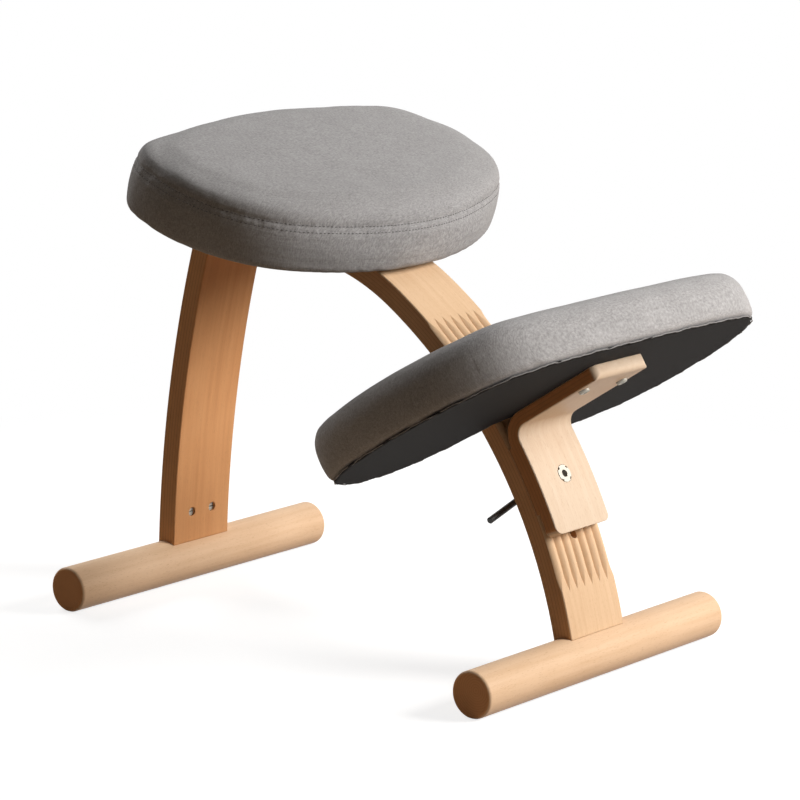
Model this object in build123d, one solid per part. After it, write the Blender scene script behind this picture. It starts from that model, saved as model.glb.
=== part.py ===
"""Kneeling chair: bent beech legs on dowel feet, a sloping seat and a knee pad that slides on the front leg.

Millimetres. +X across the chair, +Y to the rear, +Z up, floor at Z = 0.
The origin lies on the floor under the middle of the chair.
"""
import os
from math import asin, atan2, cos, degrees, hypot, radians, sin, sqrt

from build123d import *

# Clearances
SEAT_GAP = 0.15
CLOTH_GAP = 0.3
SLIDE_GAP = 0.45
SCREW_GAP = 0.05
HOLE_GAP = 0.4
# How closely an edge has to lie where it is looked for
EDGE_MATCH = 0.001

# Dowel feet
FOOT_DIAMETER = 50.0
FOOT_LENGTH = 404.0
FOOT_SPAN = 571.0
FOOT_FLAT_WIDTH = 12.0
FOOT_END_ROUND = 4.0

# Legs
LEG_WIDTH = 90.0
LEG_THICKNESS = 24.0
EDGE_EASE = 1.0
FRONT_LEG_RADIUS = 546.0
FRONT_LEG_CROOK_RADIUS = 275.0
FRONT_LEG_CROOK_TURN = 16.0
FRONT_LEG_OVERLAP = 32.0
REAR_LEG_RADIUS = 1497.0
REAR_LEG_LEAN = 0.9
REAR_LEG_BEND_RADIUS = 40.0
REAR_LEG_TOP_LENGTH = 64.0

# Reeding and adjusting slot on the front leg, measured along its front face from the foot's axis
REED_START = 71.0
REED_END = 400.0
REED_COUNT = 7
REED_DEPTH = 3.2
REED_FLAT = 2.0
REED_SHOULDER = 1.0
REED_RUNOUT_RADIUS = 70.0
SLOT_START = 123.0
SLOT_WIDTH = 9.0

# Knee bracket and its travel
CLAMP_ALONG = 189.0
SLIDE_DOWN = 57.0
SLIDE_UP = 110.0
BRACKET_ALONG = 131.0
BRACKET_ARM = 101.0
BRACKET_THICKNESS = 15.0
BRACKET_BEND_RADIUS = 14.0
BRACKET_FLANGE = 112.0
BRACKET_CORNER_ROUND = 9.0
BRACKET_NOSE_ROUND = 6.0
PAD_SLOPE = 33.5

# Seat cushion, in the plane of its sloping underside
SEAT_SLOPE = 16.0
SEAT_CENTRE_Y = 103.0
SEAT_UNDERSIDE_HEIGHT = 441.0
SEAT_HALF_WIDTH = 236.5
SEAT_FRONT = 152.0
SEAT_REAR = 129.5
SEAT_SIDE_RADIUS = 1.164 * SEAT_HALF_WIDTH
SEAT_FRONT_RADIUS = 1.487 * SEAT_HALF_WIDTH
SEAT_REAR_RADIUS = 2.866 * SEAT_HALF_WIDTH
SEAT_FRONT_CORNER = 0.49 * (SEAT_FRONT + SEAT_REAR)
SEAT_REAR_CORNER = 0.23 * (SEAT_FRONT + SEAT_REAR)
SEAT_BAND = 61.5
SEAT_CROWN = 12.0

# Knee pad, in the plane of its sloping underside, measured from the middle of the bracket's flange
PAD_HALF_WIDTH = 271.0
PAD_FRONT = 109.0
PAD_REAR = 226.0
PAD_SIDE_RADIUS = 0.782 * PAD_HALF_WIDTH
PAD_FRONT_RADIUS = 8.27 * PAD_HALF_WIDTH
PAD_REAR_RADIUS = 1.768 * PAD_HALF_WIDTH
PAD_FRONT_CORNER = 0.219 * (PAD_FRONT + PAD_REAR)
PAD_REAR_CORNER = 0.25 * PAD_HALF_WIDTH
PAD_BAND = 46.0
PAD_CROWN = 17.0
NOTCH_CENTRE = 0.53 * PAD_REAR
NOTCH_ROOM = 16.0
NOTCH_RADIUS = LEG_WIDTH / 2 + NOTCH_ROOM
NOTCH_FLARE = 0.34 * PAD_HALF_WIDTH

# Upholstery
BOARD_THICKNESS = 12.0
BOARD_INSET = 14.0
COVER_THICKNESS = 2.0
LINING_THICKNESS = 1.2
LINING_INSET = 6.0
# Cushion side and crown as pairs: share of the height, inset from the widest outline
BAND_SHAPE = ((0.0, 4.0), (0.12, 1.5), (0.45, 0.0), (0.82, 0.8), (1.0, 3.5))
CROWN_SHAPE = ((0.5, 9.0), (0.82, 20.0), (1.0, 38.0))

# Hardware
BOLT_DIAMETER = 6.0
BOLT_HEAD_DIAMETER = 12.0
BOLT_HEAD_HEIGHT = 3.2
BOLT_HEAD_ROUND = 1.9
BOLT_SOCKET = 4.0
BOLT_SOCKET_DEPTH = 2.0
T_NUT_FLANGE = 19.0
T_NUT_FLANGE_THICKNESS = 1.5
T_NUT_BARREL_WALL = 1.0
T_NUT_BARREL_LENGTH = 9.0
T_NUT_PRONGS = 4
T_NUT_PRONG_NOTCH = 3.0
T_NUT_SINK = 1.0
SEAT_BOLT_SPACING = 48.0
SEAT_BOLT_ROW_SPACING = 32.0
KNEE_BOLT_SPACING = 64.0
KNEE_BOLT_FROM_NOSE = 32.0
FOOT_BOLT_SPACING = 33.0
FOOT_BOLT_COUNTERBORE = 14.0
FOOT_BOLT_COUNTERBORE_DEPTH = 10.0
BARREL_NUT_DIAMETER = 10.0
BARREL_NUT_LENGTH = 15.0
BARREL_NUT_HEIGHT = 81.0
BARREL_NUT_SINK = 1.5
BARREL_NUT_SLOT = 1.4

# Clamp
CLAMP_BOLT_DIAMETER = 8.0
CLAMP_WASHER_DIAMETER = 24.0
CLAMP_WASHER_THICKNESS = 1.6
CLAMP_HUB_DIAMETER = 20.0
CLAMP_HUB_HEIGHT = 19.0
CLAMP_HUB_ROUND = 2.5
LEVER_DIAMETER = 7.0
LEVER_LENGTH = 80.5
LEVER_TURN = 13.0
LEVER_SEAT_DEPTH = 8.0
LEVER_DROP = 11.0
CLAMP_BOLT_SEAT_DEPTH = 6.5
CLAMP_TIP_RECESS = 5.0
LEVER_END_ROUND = 0.8

# Derived places in the side view, as (y, z)
FOOT_RADIUS = FOOT_DIAMETER / 2
SADDLE_RADIUS = FOOT_RADIUS + SEAT_GAP
FOOT_AXIS_Z = sqrt(FOOT_RADIUS**2 - (FOOT_FLAT_WIDTH / 2) ** 2)
FRONT_FOOT = (-FOOT_SPAN / 2, FOOT_AXIS_Z)
REAR_FOOT = (FOOT_SPAN / 2, FOOT_AXIS_Z)
SEAT_PLANE = Plane(
    origin=(0, SEAT_CENTRE_Y, SEAT_UNDERSIDE_HEIGHT),
    x_dir=(1, 0, 0),
    z_dir=(0, -sin(radians(SEAT_SLOPE)), cos(radians(SEAT_SLOPE))),
)


def polar(centre, radius, angle):
    """Point in the side view at an angle in degrees from +Y towards +Z."""
    return (centre[0] + radius * cos(radians(angle)), centre[1] + radius * sin(radians(angle)))


def bearing(centre, point):
    """Angle in degrees, from +Y towards +Z, of a point seen from a centre."""
    return degrees(atan2(point[1] - centre[1], point[0] - centre[0]))


def circles_meet(first, first_radius, second, second_radius):
    """Both points where two circles cross."""
    dx, dy = second[0] - first[0], second[1] - first[1]
    span = hypot(dx, dy)
    along = (first_radius**2 - second_radius**2 + span**2) / (2 * span)
    off = sqrt(first_radius**2 - along**2)
    ux, uy = dx / span, dy / span
    mid = (first[0] + along * ux, first[1] + along * uy)
    return [(mid[0] - off * uy * side, mid[1] + off * ux * side) for side in (1, -1)]


def front_leg_centre():
    """Centre of the front leg's arc: its middle line passes the foot's axis, its crook runs into the seat."""
    slope = radians(SEAT_SLOPE)
    normal = (-sin(slope), cos(slope))
    crook_reach = (FRONT_LEG_RADIUS - FRONT_LEG_CROOK_RADIUS) * cos(radians(FRONT_LEG_CROOK_TURN))
    underside = normal[0] * SEAT_CENTRE_Y + normal[1] * SEAT_UNDERSIDE_HEIGHT
    reach = underside - FRONT_LEG_CROOK_RADIUS - crook_reach
    foot_reach = normal[0] * FRONT_FOOT[0] + normal[1] * FRONT_FOOT[1]
    foot_along = normal[1] * FRONT_FOOT[0] - normal[0] * FRONT_FOOT[1]
    middle_radius = FRONT_LEG_RADIUS - LEG_THICKNESS / 2
    along = foot_along + sqrt(middle_radius**2 - (reach - foot_reach) ** 2)
    return (normal[1] * along + normal[0] * reach, normal[1] * reach - normal[0] * along)


FRONT_CENTRE = front_leg_centre()
FRONT_FOOT_ANGLE = bearing(FRONT_CENTRE, FRONT_FOOT)
FRONT_TOP_ANGLE = 90 + SEAT_SLOPE
CROOK_ANGLE = FRONT_TOP_ANGLE + FRONT_LEG_CROOK_TURN
CROOK_CENTRE = polar(FRONT_CENTRE, FRONT_LEG_RADIUS - FRONT_LEG_CROOK_RADIUS, CROOK_ANGLE)
REAR_CENTRE = polar(REAR_FOOT, -(REAR_LEG_RADIUS - LEG_THICKNESS / 2), REAR_LEG_LEAN)


def leg_angle(along):
    """Angle about the front leg's centre of a place along its front face from the foot's axis."""
    return FRONT_FOOT_ANGLE - degrees(along / FRONT_LEG_RADIUS)


CLAMP_ANGLE = leg_angle(CLAMP_ALONG)
SLOT_END = CLAMP_ALONG + SLIDE_UP + SEAT_GAP
BRACKET_BACK = FRONT_LEG_RADIUS + SLIDE_GAP
BRACKET_FRONT = BRACKET_BACK + BRACKET_THICKNESS
BRACKET_BEND_ANGLE = leg_angle(BRACKET_ALONG + BRACKET_ARM)
BRACKET_BEND_CENTRE = polar(FRONT_CENTRE, BRACKET_FRONT + BRACKET_BEND_RADIUS, BRACKET_BEND_ANGLE)
FLANGE_NORMAL_ANGLE = 90 - PAD_SLOPE
FLANGE_TOP_START = polar(BRACKET_BEND_CENTRE, BRACKET_BEND_RADIUS + BRACKET_THICKNESS, FLANGE_NORMAL_ANGLE)
FLANGE_MIDDLE = polar(FLANGE_TOP_START, BRACKET_FLANGE / 2, 180 - PAD_SLOPE)
PAD_PLANE = Plane(
    origin=(0, *FLANGE_MIDDLE),
    x_dir=(1, 0, 0),
    z_dir=(0, sin(radians(PAD_SLOPE)), cos(radians(PAD_SLOPE))),
)


def radial_plane(angle, radius=0.0):
    """Plane through the front leg's arc centre whose X runs across the chair and whose Y points outwards."""
    turn = radians(angle)
    y, z = polar(FRONT_CENTRE, radius, angle)
    return Plane(origin=(0, y, z), x_dir=(1, 0, 0), z_dir=(0, -sin(turn), cos(turn)))


def clamp_plane(radius):
    """Plane square to the clamp bolt at a radius from the leg's arc centre, with Z pointing outwards."""
    turn = radians(CLAMP_ANGLE)
    y, z = polar(FRONT_CENTRE, radius, CLAMP_ANGLE)
    return Plane(origin=(0, y, z), x_dir=(1, 0, 0), z_dir=(0, cos(turn), sin(turn)))


def side_extrude(edges, width):
    """Solid with a side view made of edges drawn as (y, z) and a width centred on the chair."""
    face = Plane.YZ * make_face(Curve() + edges)
    return extrude(face, amount=width / 2, both=True)


def arc(centre, radius, start, end):
    """Side-view arc between two angles in degrees."""
    middle = (start + end) / 2
    return ThreePointArc(*[polar(centre, radius, angle) for angle in (start, middle, end)])


def placed(plane, shape):
    return plane.location * shape


def drill(plane, diameter, depth):
    """Cylinder from a plane along its Z, or against it for a negative depth."""
    hole = Cylinder(diameter / 2, abs(depth), align=(Align.CENTER, Align.CENTER, Align.MIN))
    if depth < 0:
        hole = Pos(0, 0, depth) * hole
    return placed(plane, hole)


def offset_plane(plane, x, y, z=0.0):
    """Copy of a plane moved in its own axes."""
    return Plane(origin=plane.from_local_coords((x, y, z)), x_dir=plane.x_dir, z_dir=plane.z_dir)


def seat_bolt_places():
    """Four places around the middle of the rear leg's flat top."""
    middle = rear_flat_start() - REAR_LEG_TOP_LENGTH / 2
    rows = [middle + side * SEAT_BOLT_ROW_SPACING / 2 for side in (-1, 1)]
    return [offset_plane(SEAT_PLANE, side * SEAT_BOLT_SPACING / 2, row) for row in rows for side in (-1, 1)]


def knee_bolt_places():
    row_y = -BRACKET_FLANGE / 2 + KNEE_BOLT_FROM_NOSE
    return [offset_plane(PAD_PLANE, side * KNEE_BOLT_SPACING / 2, row_y) for side in (-1, 1)]


def foot_bolt_axes(foot, angle):
    """Planes at a foot's axis, one per bolt, with Z up along the leg."""
    turn = radians(angle)
    return [
        Plane(origin=(side * FOOT_BOLT_SPACING / 2, *foot), x_dir=(1, 0, 0), z_dir=(0, cos(turn), sin(turn)))
        for side in (-1, 1)
    ]


FRONT_BOLT_ANGLE = FRONT_FOOT_ANGLE - 90
REAR_BOLT_ANGLE = 90 + REAR_LEG_LEAN
BARREL_NUT_RISE = BARREL_NUT_HEIGHT - FOOT_AXIS_Z


def foot(place, bolt_angle):
    """Dowel with rounded ends, a planed flat on the floor and counterbored bolt holes."""
    dowel = Cylinder(FOOT_RADIUS, FOOT_LENGTH, rotation=(0, 90, 0))
    dowel = fillet(dowel.edges().filter_by(GeomType.CIRCLE), FOOT_END_ROUND)
    below = Box(FOOT_LENGTH, FOOT_DIAMETER, FOOT_DIAMETER, align=(Align.CENTER, Align.CENTER, Align.MAX))
    dowel -= Pos(0, 0, -FOOT_AXIS_Z) * below
    dowel = Pos(0, *place) * dowel
    for axis in foot_bolt_axes(place, bolt_angle):
        dowel -= drill(offset_plane(axis, 0, 0, -FOOT_DIAMETER), BOLT_DIAMETER + HOLE_GAP, 2 * FOOT_DIAMETER)
        head_seat = FOOT_BOLT_COUNTERBORE_DEPTH - FOOT_AXIS_Z
        dowel -= drill(offset_plane(axis, 0, 0, head_seat), FOOT_BOLT_COUNTERBORE, -FOOT_DIAMETER)
    return dowel


def barrel_nut_plane(axis, inward):
    """Plane at a barrel nut's middle, with Z towards the leg's inner face."""
    middle = axis.from_local_coords((0, 0, BARREL_NUT_RISE))
    return Plane(origin=middle, x_dir=(1, 0, 0), z_dir=axis.y_dir * inward)


def leg_foot_cuts(leg, place, bolt_angle, inward):
    """Saddle over the dowel, bolt holes up the leg and blind barrel-nut holes from its inner face."""
    leg -= Pos(0, *place) * Cylinder(SADDLE_RADIUS, LEG_WIDTH * 2, rotation=(0, 90, 0))
    for axis in foot_bolt_axes(place, bolt_angle):
        leg -= drill(axis, BOLT_DIAMETER + HOLE_GAP, BARREL_NUT_RISE + BARREL_NUT_DIAMETER)
        nut = barrel_nut_plane(axis, inward)
        floor_z = LEG_THICKNESS / 2 - BARREL_NUT_SINK - BARREL_NUT_LENGTH
        leg -= drill(offset_plane(nut, 0, 0, floor_z), BARREL_NUT_DIAMETER + HOLE_GAP, LEG_THICKNESS)
    return leg


def eased_sides(solid):
    """Ease the long edges along both flat sides of a bent board."""
    sides = [e for e in solid.edges() if abs(abs(e.center().X) - LEG_WIDTH / 2) < EDGE_MATCH]
    return chamfer(sides, EDGE_EASE)


def reed_profile(plane, place, lift):
    """Valley between two rounded reeds, drawn outwards from its floor, with a cap above the surface."""
    half = (LEG_WIDTH / REED_COUNT - REED_FLAT) / 2
    rim = FRONT_LEG_RADIUS + lift
    floor_r = rim - REED_DEPTH
    shoulder_r = rim - REED_SHOULDER
    left, right = place - half, place + half
    cap = rim + REED_DEPTH
    edges = [
        ThreePointArc((left, rim), (place - half / 2, shoulder_r), (place, floor_r)),
        ThreePointArc((place, floor_r), (place + half / 2, shoulder_r), (right, rim)),
        Polyline((right, rim), (right, cap), (left, cap), (left, rim)),
    ]
    return plane * make_face(Curve() + edges)


def reed_places():
    pitch = LEG_WIDTH / REED_COUNT
    return [-LEG_WIDTH / 2 + k * pitch for k in range(REED_COUNT + 1)]


def leg_axis():
    return Axis((0, *FRONT_CENTRE), (1, 0, 0))


def runout_length():
    """Length along the leg over which a reed's valley rises to the surface."""
    return sqrt(2 * REED_DEPTH / (1 / REED_RUNOUT_RADIUS + 1 / FRONT_LEG_RADIUS))


def reed_cutter(place):
    """One valley: an arc about the leg's centre with an outward-curving run-out at each end."""
    low = leg_angle(REED_START + runout_length())
    high = leg_angle(REED_END - runout_length())
    cutter = revolve(reed_profile(radial_plane(high), place, 0), leg_axis(), low - high)
    turn = 2 * degrees(runout_length() / REED_RUNOUT_RADIUS)
    for angle, sense in ((low, -1), (high, 1)):
        centre = polar(FRONT_CENTRE, FRONT_LEG_RADIUS - REED_DEPTH + REED_RUNOUT_RADIUS, angle)
        axis = Axis((0, *centre), (1, 0, 0))
        cutter += revolve(reed_profile(radial_plane(angle), place, 0), axis, sense * turn)
    return cutter


def slot_cutter():
    """Adjusting slot through the leg with round ends."""
    low = leg_angle(SLOT_START + SLOT_WIDTH / 2)
    high = leg_angle(SLOT_END)
    depth = 2 * LEG_THICKNESS
    middle_radius = FRONT_LEG_RADIUS - LEG_THICKNESS / 2
    face = radial_plane(high, middle_radius) * Rectangle(SLOT_WIDTH, depth)
    cutter = revolve(face, leg_axis(), low - high)
    for angle in (low, high):
        turn = radians(angle)
        y, z = polar(FRONT_CENTRE, middle_radius, angle)
        end = Plane(origin=(0, y, z), x_dir=(1, 0, 0), z_dir=(0, cos(turn), sin(turn)))
        cutter += end.location * Cylinder(SLOT_WIDTH / 2, depth)
    return cutter


def front_leg():
    """Reeded and slotted board: an arc and a crook up from the foot, then straight under the seat."""
    inner = FRONT_LEG_RADIUS - LEG_THICKNESS
    crook_inner = FRONT_LEG_CROOK_RADIUS - LEG_THICKNESS
    top_start = polar(CROOK_CENTRE, FRONT_LEG_CROOK_RADIUS, FRONT_TOP_ANGLE)
    under_start = polar(CROOK_CENTRE, crook_inner, FRONT_TOP_ANGLE)
    foot_outer = polar(FRONT_CENTRE, FRONT_LEG_RADIUS, FRONT_FOOT_ANGLE)
    foot_inner = polar(FRONT_CENTRE, inner, FRONT_FOOT_ANGLE)
    top_length = rear_flat_start() + FRONT_LEG_OVERLAP - SEAT_PLANE.to_local_coords(Vector(0, *top_start)).Y
    top_end = polar(top_start, top_length, SEAT_SLOPE)
    under_end = polar(under_start, top_length, SEAT_SLOPE)
    edges = [
        arc(FRONT_CENTRE, FRONT_LEG_RADIUS, FRONT_FOOT_ANGLE, CROOK_ANGLE),
        arc(CROOK_CENTRE, FRONT_LEG_CROOK_RADIUS, CROOK_ANGLE, FRONT_TOP_ANGLE),
        Polyline(top_start, top_end, under_end, under_start),
        arc(CROOK_CENTRE, crook_inner, FRONT_TOP_ANGLE, CROOK_ANGLE),
        arc(FRONT_CENTRE, inner, CROOK_ANGLE, FRONT_FOOT_ANGLE),
        Line(foot_inner, foot_outer),
    ]
    leg = leg_foot_cuts(eased_sides(side_extrude(edges, LEG_WIDTH)), FRONT_FOOT, FRONT_BOLT_ANGLE, 1)
    for place in reed_places():
        leg -= reed_cutter(place)
    leg -= slot_cutter()
    for plane in seat_bolt_places():
        leg -= drill(plane, BOLT_DIAMETER + HOLE_GAP, -2 * LEG_THICKNESS)
    return leg


def rear_bend_angle():
    """Angle about the rear leg's centre where it starts to bend, so that its top lies under the front leg."""
    slope = radians(SEAT_SLOPE)
    normal = (-sin(slope), cos(slope))
    top = normal[0] * SEAT_CENTRE_Y + normal[1] * SEAT_UNDERSIDE_HEIGHT - LEG_THICKNESS
    reach = top - (REAR_LEG_BEND_RADIUS + LEG_THICKNESS)
    from_centre = reach - normal[0] * REAR_CENTRE[0] - normal[1] * REAR_CENTRE[1]
    swing = REAR_LEG_RADIUS - LEG_THICKNESS - REAR_LEG_BEND_RADIUS
    return SEAT_SLOPE + degrees(asin(from_centre / swing))


def rear_bend_centre():
    return polar(REAR_CENTRE, REAR_LEG_RADIUS - LEG_THICKNESS - REAR_LEG_BEND_RADIUS, rear_bend_angle())


def rear_flat_start():
    """Place in the seat's plane where the rear leg's bend ends and its flat top begins."""
    return SEAT_PLANE.to_local_coords(Vector(0, *rear_bend_centre())).Y


def rear_leg():
    """Board that leans forward from the rear foot and bends under the end of the front leg."""
    inner = REAR_LEG_RADIUS - LEG_THICKNESS
    bend_angle = rear_bend_angle()
    bend_centre = rear_bend_centre()
    bend_outer = REAR_LEG_BEND_RADIUS + LEG_THICKNESS
    forward = 180 + SEAT_SLOPE
    top_start = polar(bend_centre, bend_outer, FRONT_TOP_ANGLE)
    under_start = polar(bend_centre, REAR_LEG_BEND_RADIUS, FRONT_TOP_ANGLE)
    top_end = polar(top_start, REAR_LEG_TOP_LENGTH, forward)
    under_end = polar(under_start, REAR_LEG_TOP_LENGTH, forward)
    edges = [
        arc(REAR_CENTRE, REAR_LEG_RADIUS, REAR_LEG_LEAN, bend_angle),
        arc(bend_centre, bend_outer, bend_angle, FRONT_TOP_ANGLE),
        Polyline(top_start, top_end, under_end, under_start),
        arc(bend_centre, REAR_LEG_BEND_RADIUS, FRONT_TOP_ANGLE, bend_angle),
        arc(REAR_CENTRE, inner, bend_angle, REAR_LEG_LEAN),
        Line(polar(REAR_CENTRE, inner, REAR_LEG_LEAN), polar(REAR_CENTRE, REAR_LEG_RADIUS, REAR_LEG_LEAN)),
    ]
    leg = leg_foot_cuts(eased_sides(side_extrude(edges, LEG_WIDTH)), REAR_FOOT, REAR_BOLT_ANGLE, -1)
    for plane in seat_bolt_places():
        leg -= drill(plane, BOLT_DIAMETER + HOLE_GAP, -3 * LEG_THICKNESS)
    return leg


def bracket_tongues():
    """Ridges on the bracket's back that run in the reeds' valleys, short enough to clear the run-outs."""
    low = leg_angle(REED_START + runout_length() + SLIDE_DOWN + SLOT_WIDTH)
    high = BRACKET_BEND_ANGLE
    tongues = [revolve(reed_profile(radial_plane(high), place, SLIDE_GAP), leg_axis(), low - high)
               for place in reed_places()]
    reach = 3 * FRONT_LEG_RADIUS
    return [tongue & Box(LEG_WIDTH, reach, reach) for tongue in tongues]


def corner_cutter(plane, side):
    """Waste outside a rounded corner: the corner lies on the plane's origin, the board towards +Y."""
    r = BRACKET_CORNER_ROUND
    waste = Box(r, r, 4 * BRACKET_THICKNESS) - Pos(-r / 2, r / 2) * Cylinder(r, 4 * BRACKET_THICKNESS)
    waste = Pos(-r / 2, r / 2) * waste
    if side < 0:
        waste = mirror(waste, Plane.YZ)
    return placed(offset_plane(plane, side * LEG_WIDTH / 2, 0), waste)


def knee_bracket():
    """L-shaped bent board: an arm that follows the leg and a sloping flange under the knee pad."""
    low = leg_angle(BRACKET_ALONG)
    bend = BRACKET_BEND_ANGLE
    bend_outer = BRACKET_BEND_RADIUS + BRACKET_THICKNESS
    normal = FLANGE_NORMAL_ANGLE
    arm_end = bend - 180
    forward = 180 - PAD_SLOPE
    under_start = polar(BRACKET_BEND_CENTRE, BRACKET_BEND_RADIUS, normal)
    nose_top = polar(FLANGE_TOP_START, BRACKET_FLANGE, forward)
    nose_under = polar(under_start, BRACKET_FLANGE, forward)
    nose_centre = polar(polar(nose_under, -BRACKET_NOSE_ROUND, forward), BRACKET_NOSE_ROUND, normal)
    nose_arc = arc(nose_centre, BRACKET_NOSE_ROUND, normal + 180, forward)
    edges = [
        arc(FRONT_CENTRE, BRACKET_FRONT, low, bend),
        arc(BRACKET_BEND_CENTRE, BRACKET_BEND_RADIUS, arm_end, normal),
        Line(under_start, nose_arc @ 0),
        nose_arc,
        Polyline(nose_arc @ 1, nose_top, FLANGE_TOP_START),
        arc(BRACKET_BEND_CENTRE, bend_outer, normal, arm_end),
        arc(FRONT_CENTRE, BRACKET_BACK, bend, low),
        Line(polar(FRONT_CENTRE, BRACKET_BACK, low), polar(FRONT_CENTRE, BRACKET_FRONT, low)),
    ]
    bracket = eased_sides(side_extrude(edges, LEG_WIDTH))
    for tongue in bracket_tongues():
        bracket += tongue
    turn = radians(low)
    toe_place = polar(FRONT_CENTRE, BRACKET_FRONT, low)
    toe = Plane(origin=(0, *toe_place), x_dir=(1, 0, 0), z_dir=(0, cos(turn), sin(turn)))
    nose = Plane(origin=(0, *nose_top), x_dir=(1, 0, 0), z_dir=PAD_PLANE.z_dir)
    for side in (-1, 1):
        bracket -= corner_cutter(toe, side)
        bracket -= corner_cutter(nose, side)
    barrel_hole = clamp_barrel() + 2 * SEAT_GAP
    bracket -= drill(clamp_plane(FRONT_LEG_RADIUS - REED_DEPTH), barrel_hole, 2 * BRACKET_THICKNESS)
    bracket -= drill(clamp_plane(BRACKET_FRONT - T_NUT_SINK), T_NUT_FLANGE + 2 * HOLE_GAP, BRACKET_THICKNESS)
    for plane in knee_bolt_places():
        bracket -= drill(plane, BOLT_DIAMETER + HOLE_GAP, -2 * BRACKET_THICKNESS)
    return bracket


def barrel_diameter(bolt):
    return bolt + 2 * SCREW_GAP + 2 * T_NUT_BARREL_WALL


def clamp_barrel():
    return barrel_diameter(CLAMP_BOLT_DIAMETER)


def t_nut(bolt, plane):
    """T-nut with its flange's underside on the plane, prong notches in its rim and its barrel below."""
    nut = Cylinder(T_NUT_FLANGE / 2, T_NUT_FLANGE_THICKNESS, align=(Align.CENTER, Align.CENTER, Align.MIN))
    notch = Box(T_NUT_PRONG_NOTCH, T_NUT_PRONG_NOTCH, 3 * T_NUT_FLANGE_THICKNESS)
    for k in range(T_NUT_PRONGS):
        nut -= Rot(0, 0, 360 * (k + 0.5) / T_NUT_PRONGS) * Pos(T_NUT_FLANGE / 2, 0) * notch
    nut += Cylinder(
        barrel_diameter(bolt) / 2, T_NUT_BARREL_LENGTH, align=(Align.CENTER, Align.CENTER, Align.MAX)
    )
    nut -= Cylinder(bolt / 2 + SCREW_GAP, 4 * T_NUT_BARREL_LENGTH)
    return placed(plane, nut)


def socket_bolt(plane, length):
    """Button-head bolt with a hexagon socket: the head's seat is on the plane, the shank along its Z."""
    head = Cylinder(BOLT_HEAD_DIAMETER / 2, BOLT_HEAD_HEIGHT, align=(Align.CENTER, Align.CENTER, Align.MAX))
    head = fillet(head.edges().group_by(Axis.Z)[0], BOLT_HEAD_ROUND)
    shank = Cylinder(BOLT_DIAMETER / 2, length, align=(Align.CENTER, Align.CENTER, Align.MIN))
    hexagon = RegularPolygon(BOLT_SOCKET / 2, side_count=6, major_radius=False)
    socket = extrude(hexagon, amount=BOLT_SOCKET_DEPTH)
    return placed(plane, head + shank - Pos(0, 0, -BOLT_HEAD_HEIGHT) * socket)


def barrel_nut(axis, inward):
    """Cross dowel with a threaded hole for the foot bolt and a driver slot in its open end."""
    nut = Cylinder(BARREL_NUT_DIAMETER / 2, BARREL_NUT_LENGTH, align=(Align.CENTER, Align.CENTER, Align.MAX))
    nut -= Box(BARREL_NUT_DIAMETER, BARREL_NUT_SLOT, 2 * BARREL_NUT_SLOT)
    nut = placed(offset_plane(barrel_nut_plane(axis, inward), 0, 0, LEG_THICKNESS / 2 - BARREL_NUT_SINK), nut)
    return nut - drill(axis, BOLT_DIAMETER + 2 * SCREW_GAP, 2 * BARREL_NUT_HEIGHT)


def foot_hardware(place, bolt_angle, inward):
    """The two foot bolts and their two barrel nuts."""
    head_seat = FOOT_BOLT_COUNTERBORE_DEPTH - FOOT_AXIS_Z
    length = BARREL_NUT_RISE + BARREL_NUT_DIAMETER / 2 - head_seat
    axes = foot_bolt_axes(place, bolt_angle)
    bolts = [socket_bolt(offset_plane(axis, 0, 0, head_seat), length) for axis in axes]
    nuts = [barrel_nut(axis, inward) for axis in axes]
    return group(bolts), group(nuts)


def blend_centre(first, second, radius, hint):
    """Centre of a rounded corner between two outline circles, the one nearer to a hint."""
    reach = [circle_radius - sense * radius for _, circle_radius, sense in (first, second)]
    choices = circles_meet(first[0], reach[0], second[0], reach[1])
    return min(choices, key=lambda c: hypot(c[0] - hint[0], c[1] - hint[1]))


def arc_towards(centre, radius, start, end):
    """Short arc about a centre between the bearings of two points."""
    points = [polar(centre, radius, bearing(centre, p)) for p in (start, end)]
    middle = ((points[0][0] + points[1][0]) / 2, (points[0][1] + points[1][1]) / 2)
    return ThreePointArc(points[0], polar(centre, radius, bearing(centre, middle)), points[1])


def soft_outline(circles, corners, inset):
    """Closed outline of tangent arcs: outline circles in order, each joined to the next by a rounded corner.

    A circle is (centre, radius, sense), with sense -1 where the outline bends inwards around it.
    """
    count = len(circles)
    centres = [blend_centre(circles[k], circles[(k + 1) % count], *corners[k]) for k in range(count)]
    edges = []
    for k, (centre, radius, sense) in enumerate(circles):
        edges.append(arc_towards(centre, radius - sense * inset, centres[k - 1], centres[k]))
        corner_start = edges[-1] @ 1
        following = circles[(k + 1) % count]
        tangent = bearing(following[0], centres[k])
        corner_end = polar(following[0], following[1] - following[2] * inset, tangent)
        start = (corner_start.X, corner_start.Y)
        edges.append(arc_towards(centres[k], corners[k][0] - inset, start, corner_end))
    return make_face(Curve() + edges)


def end_circle(y, radius, side):
    """Outline circle across one end, bulging towards that side."""
    return ((0, y - side * radius), radius, 1)


def side_circle(half_width, y, radius, side):
    return ((side * (half_width - radius), y), radius, 1)


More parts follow.
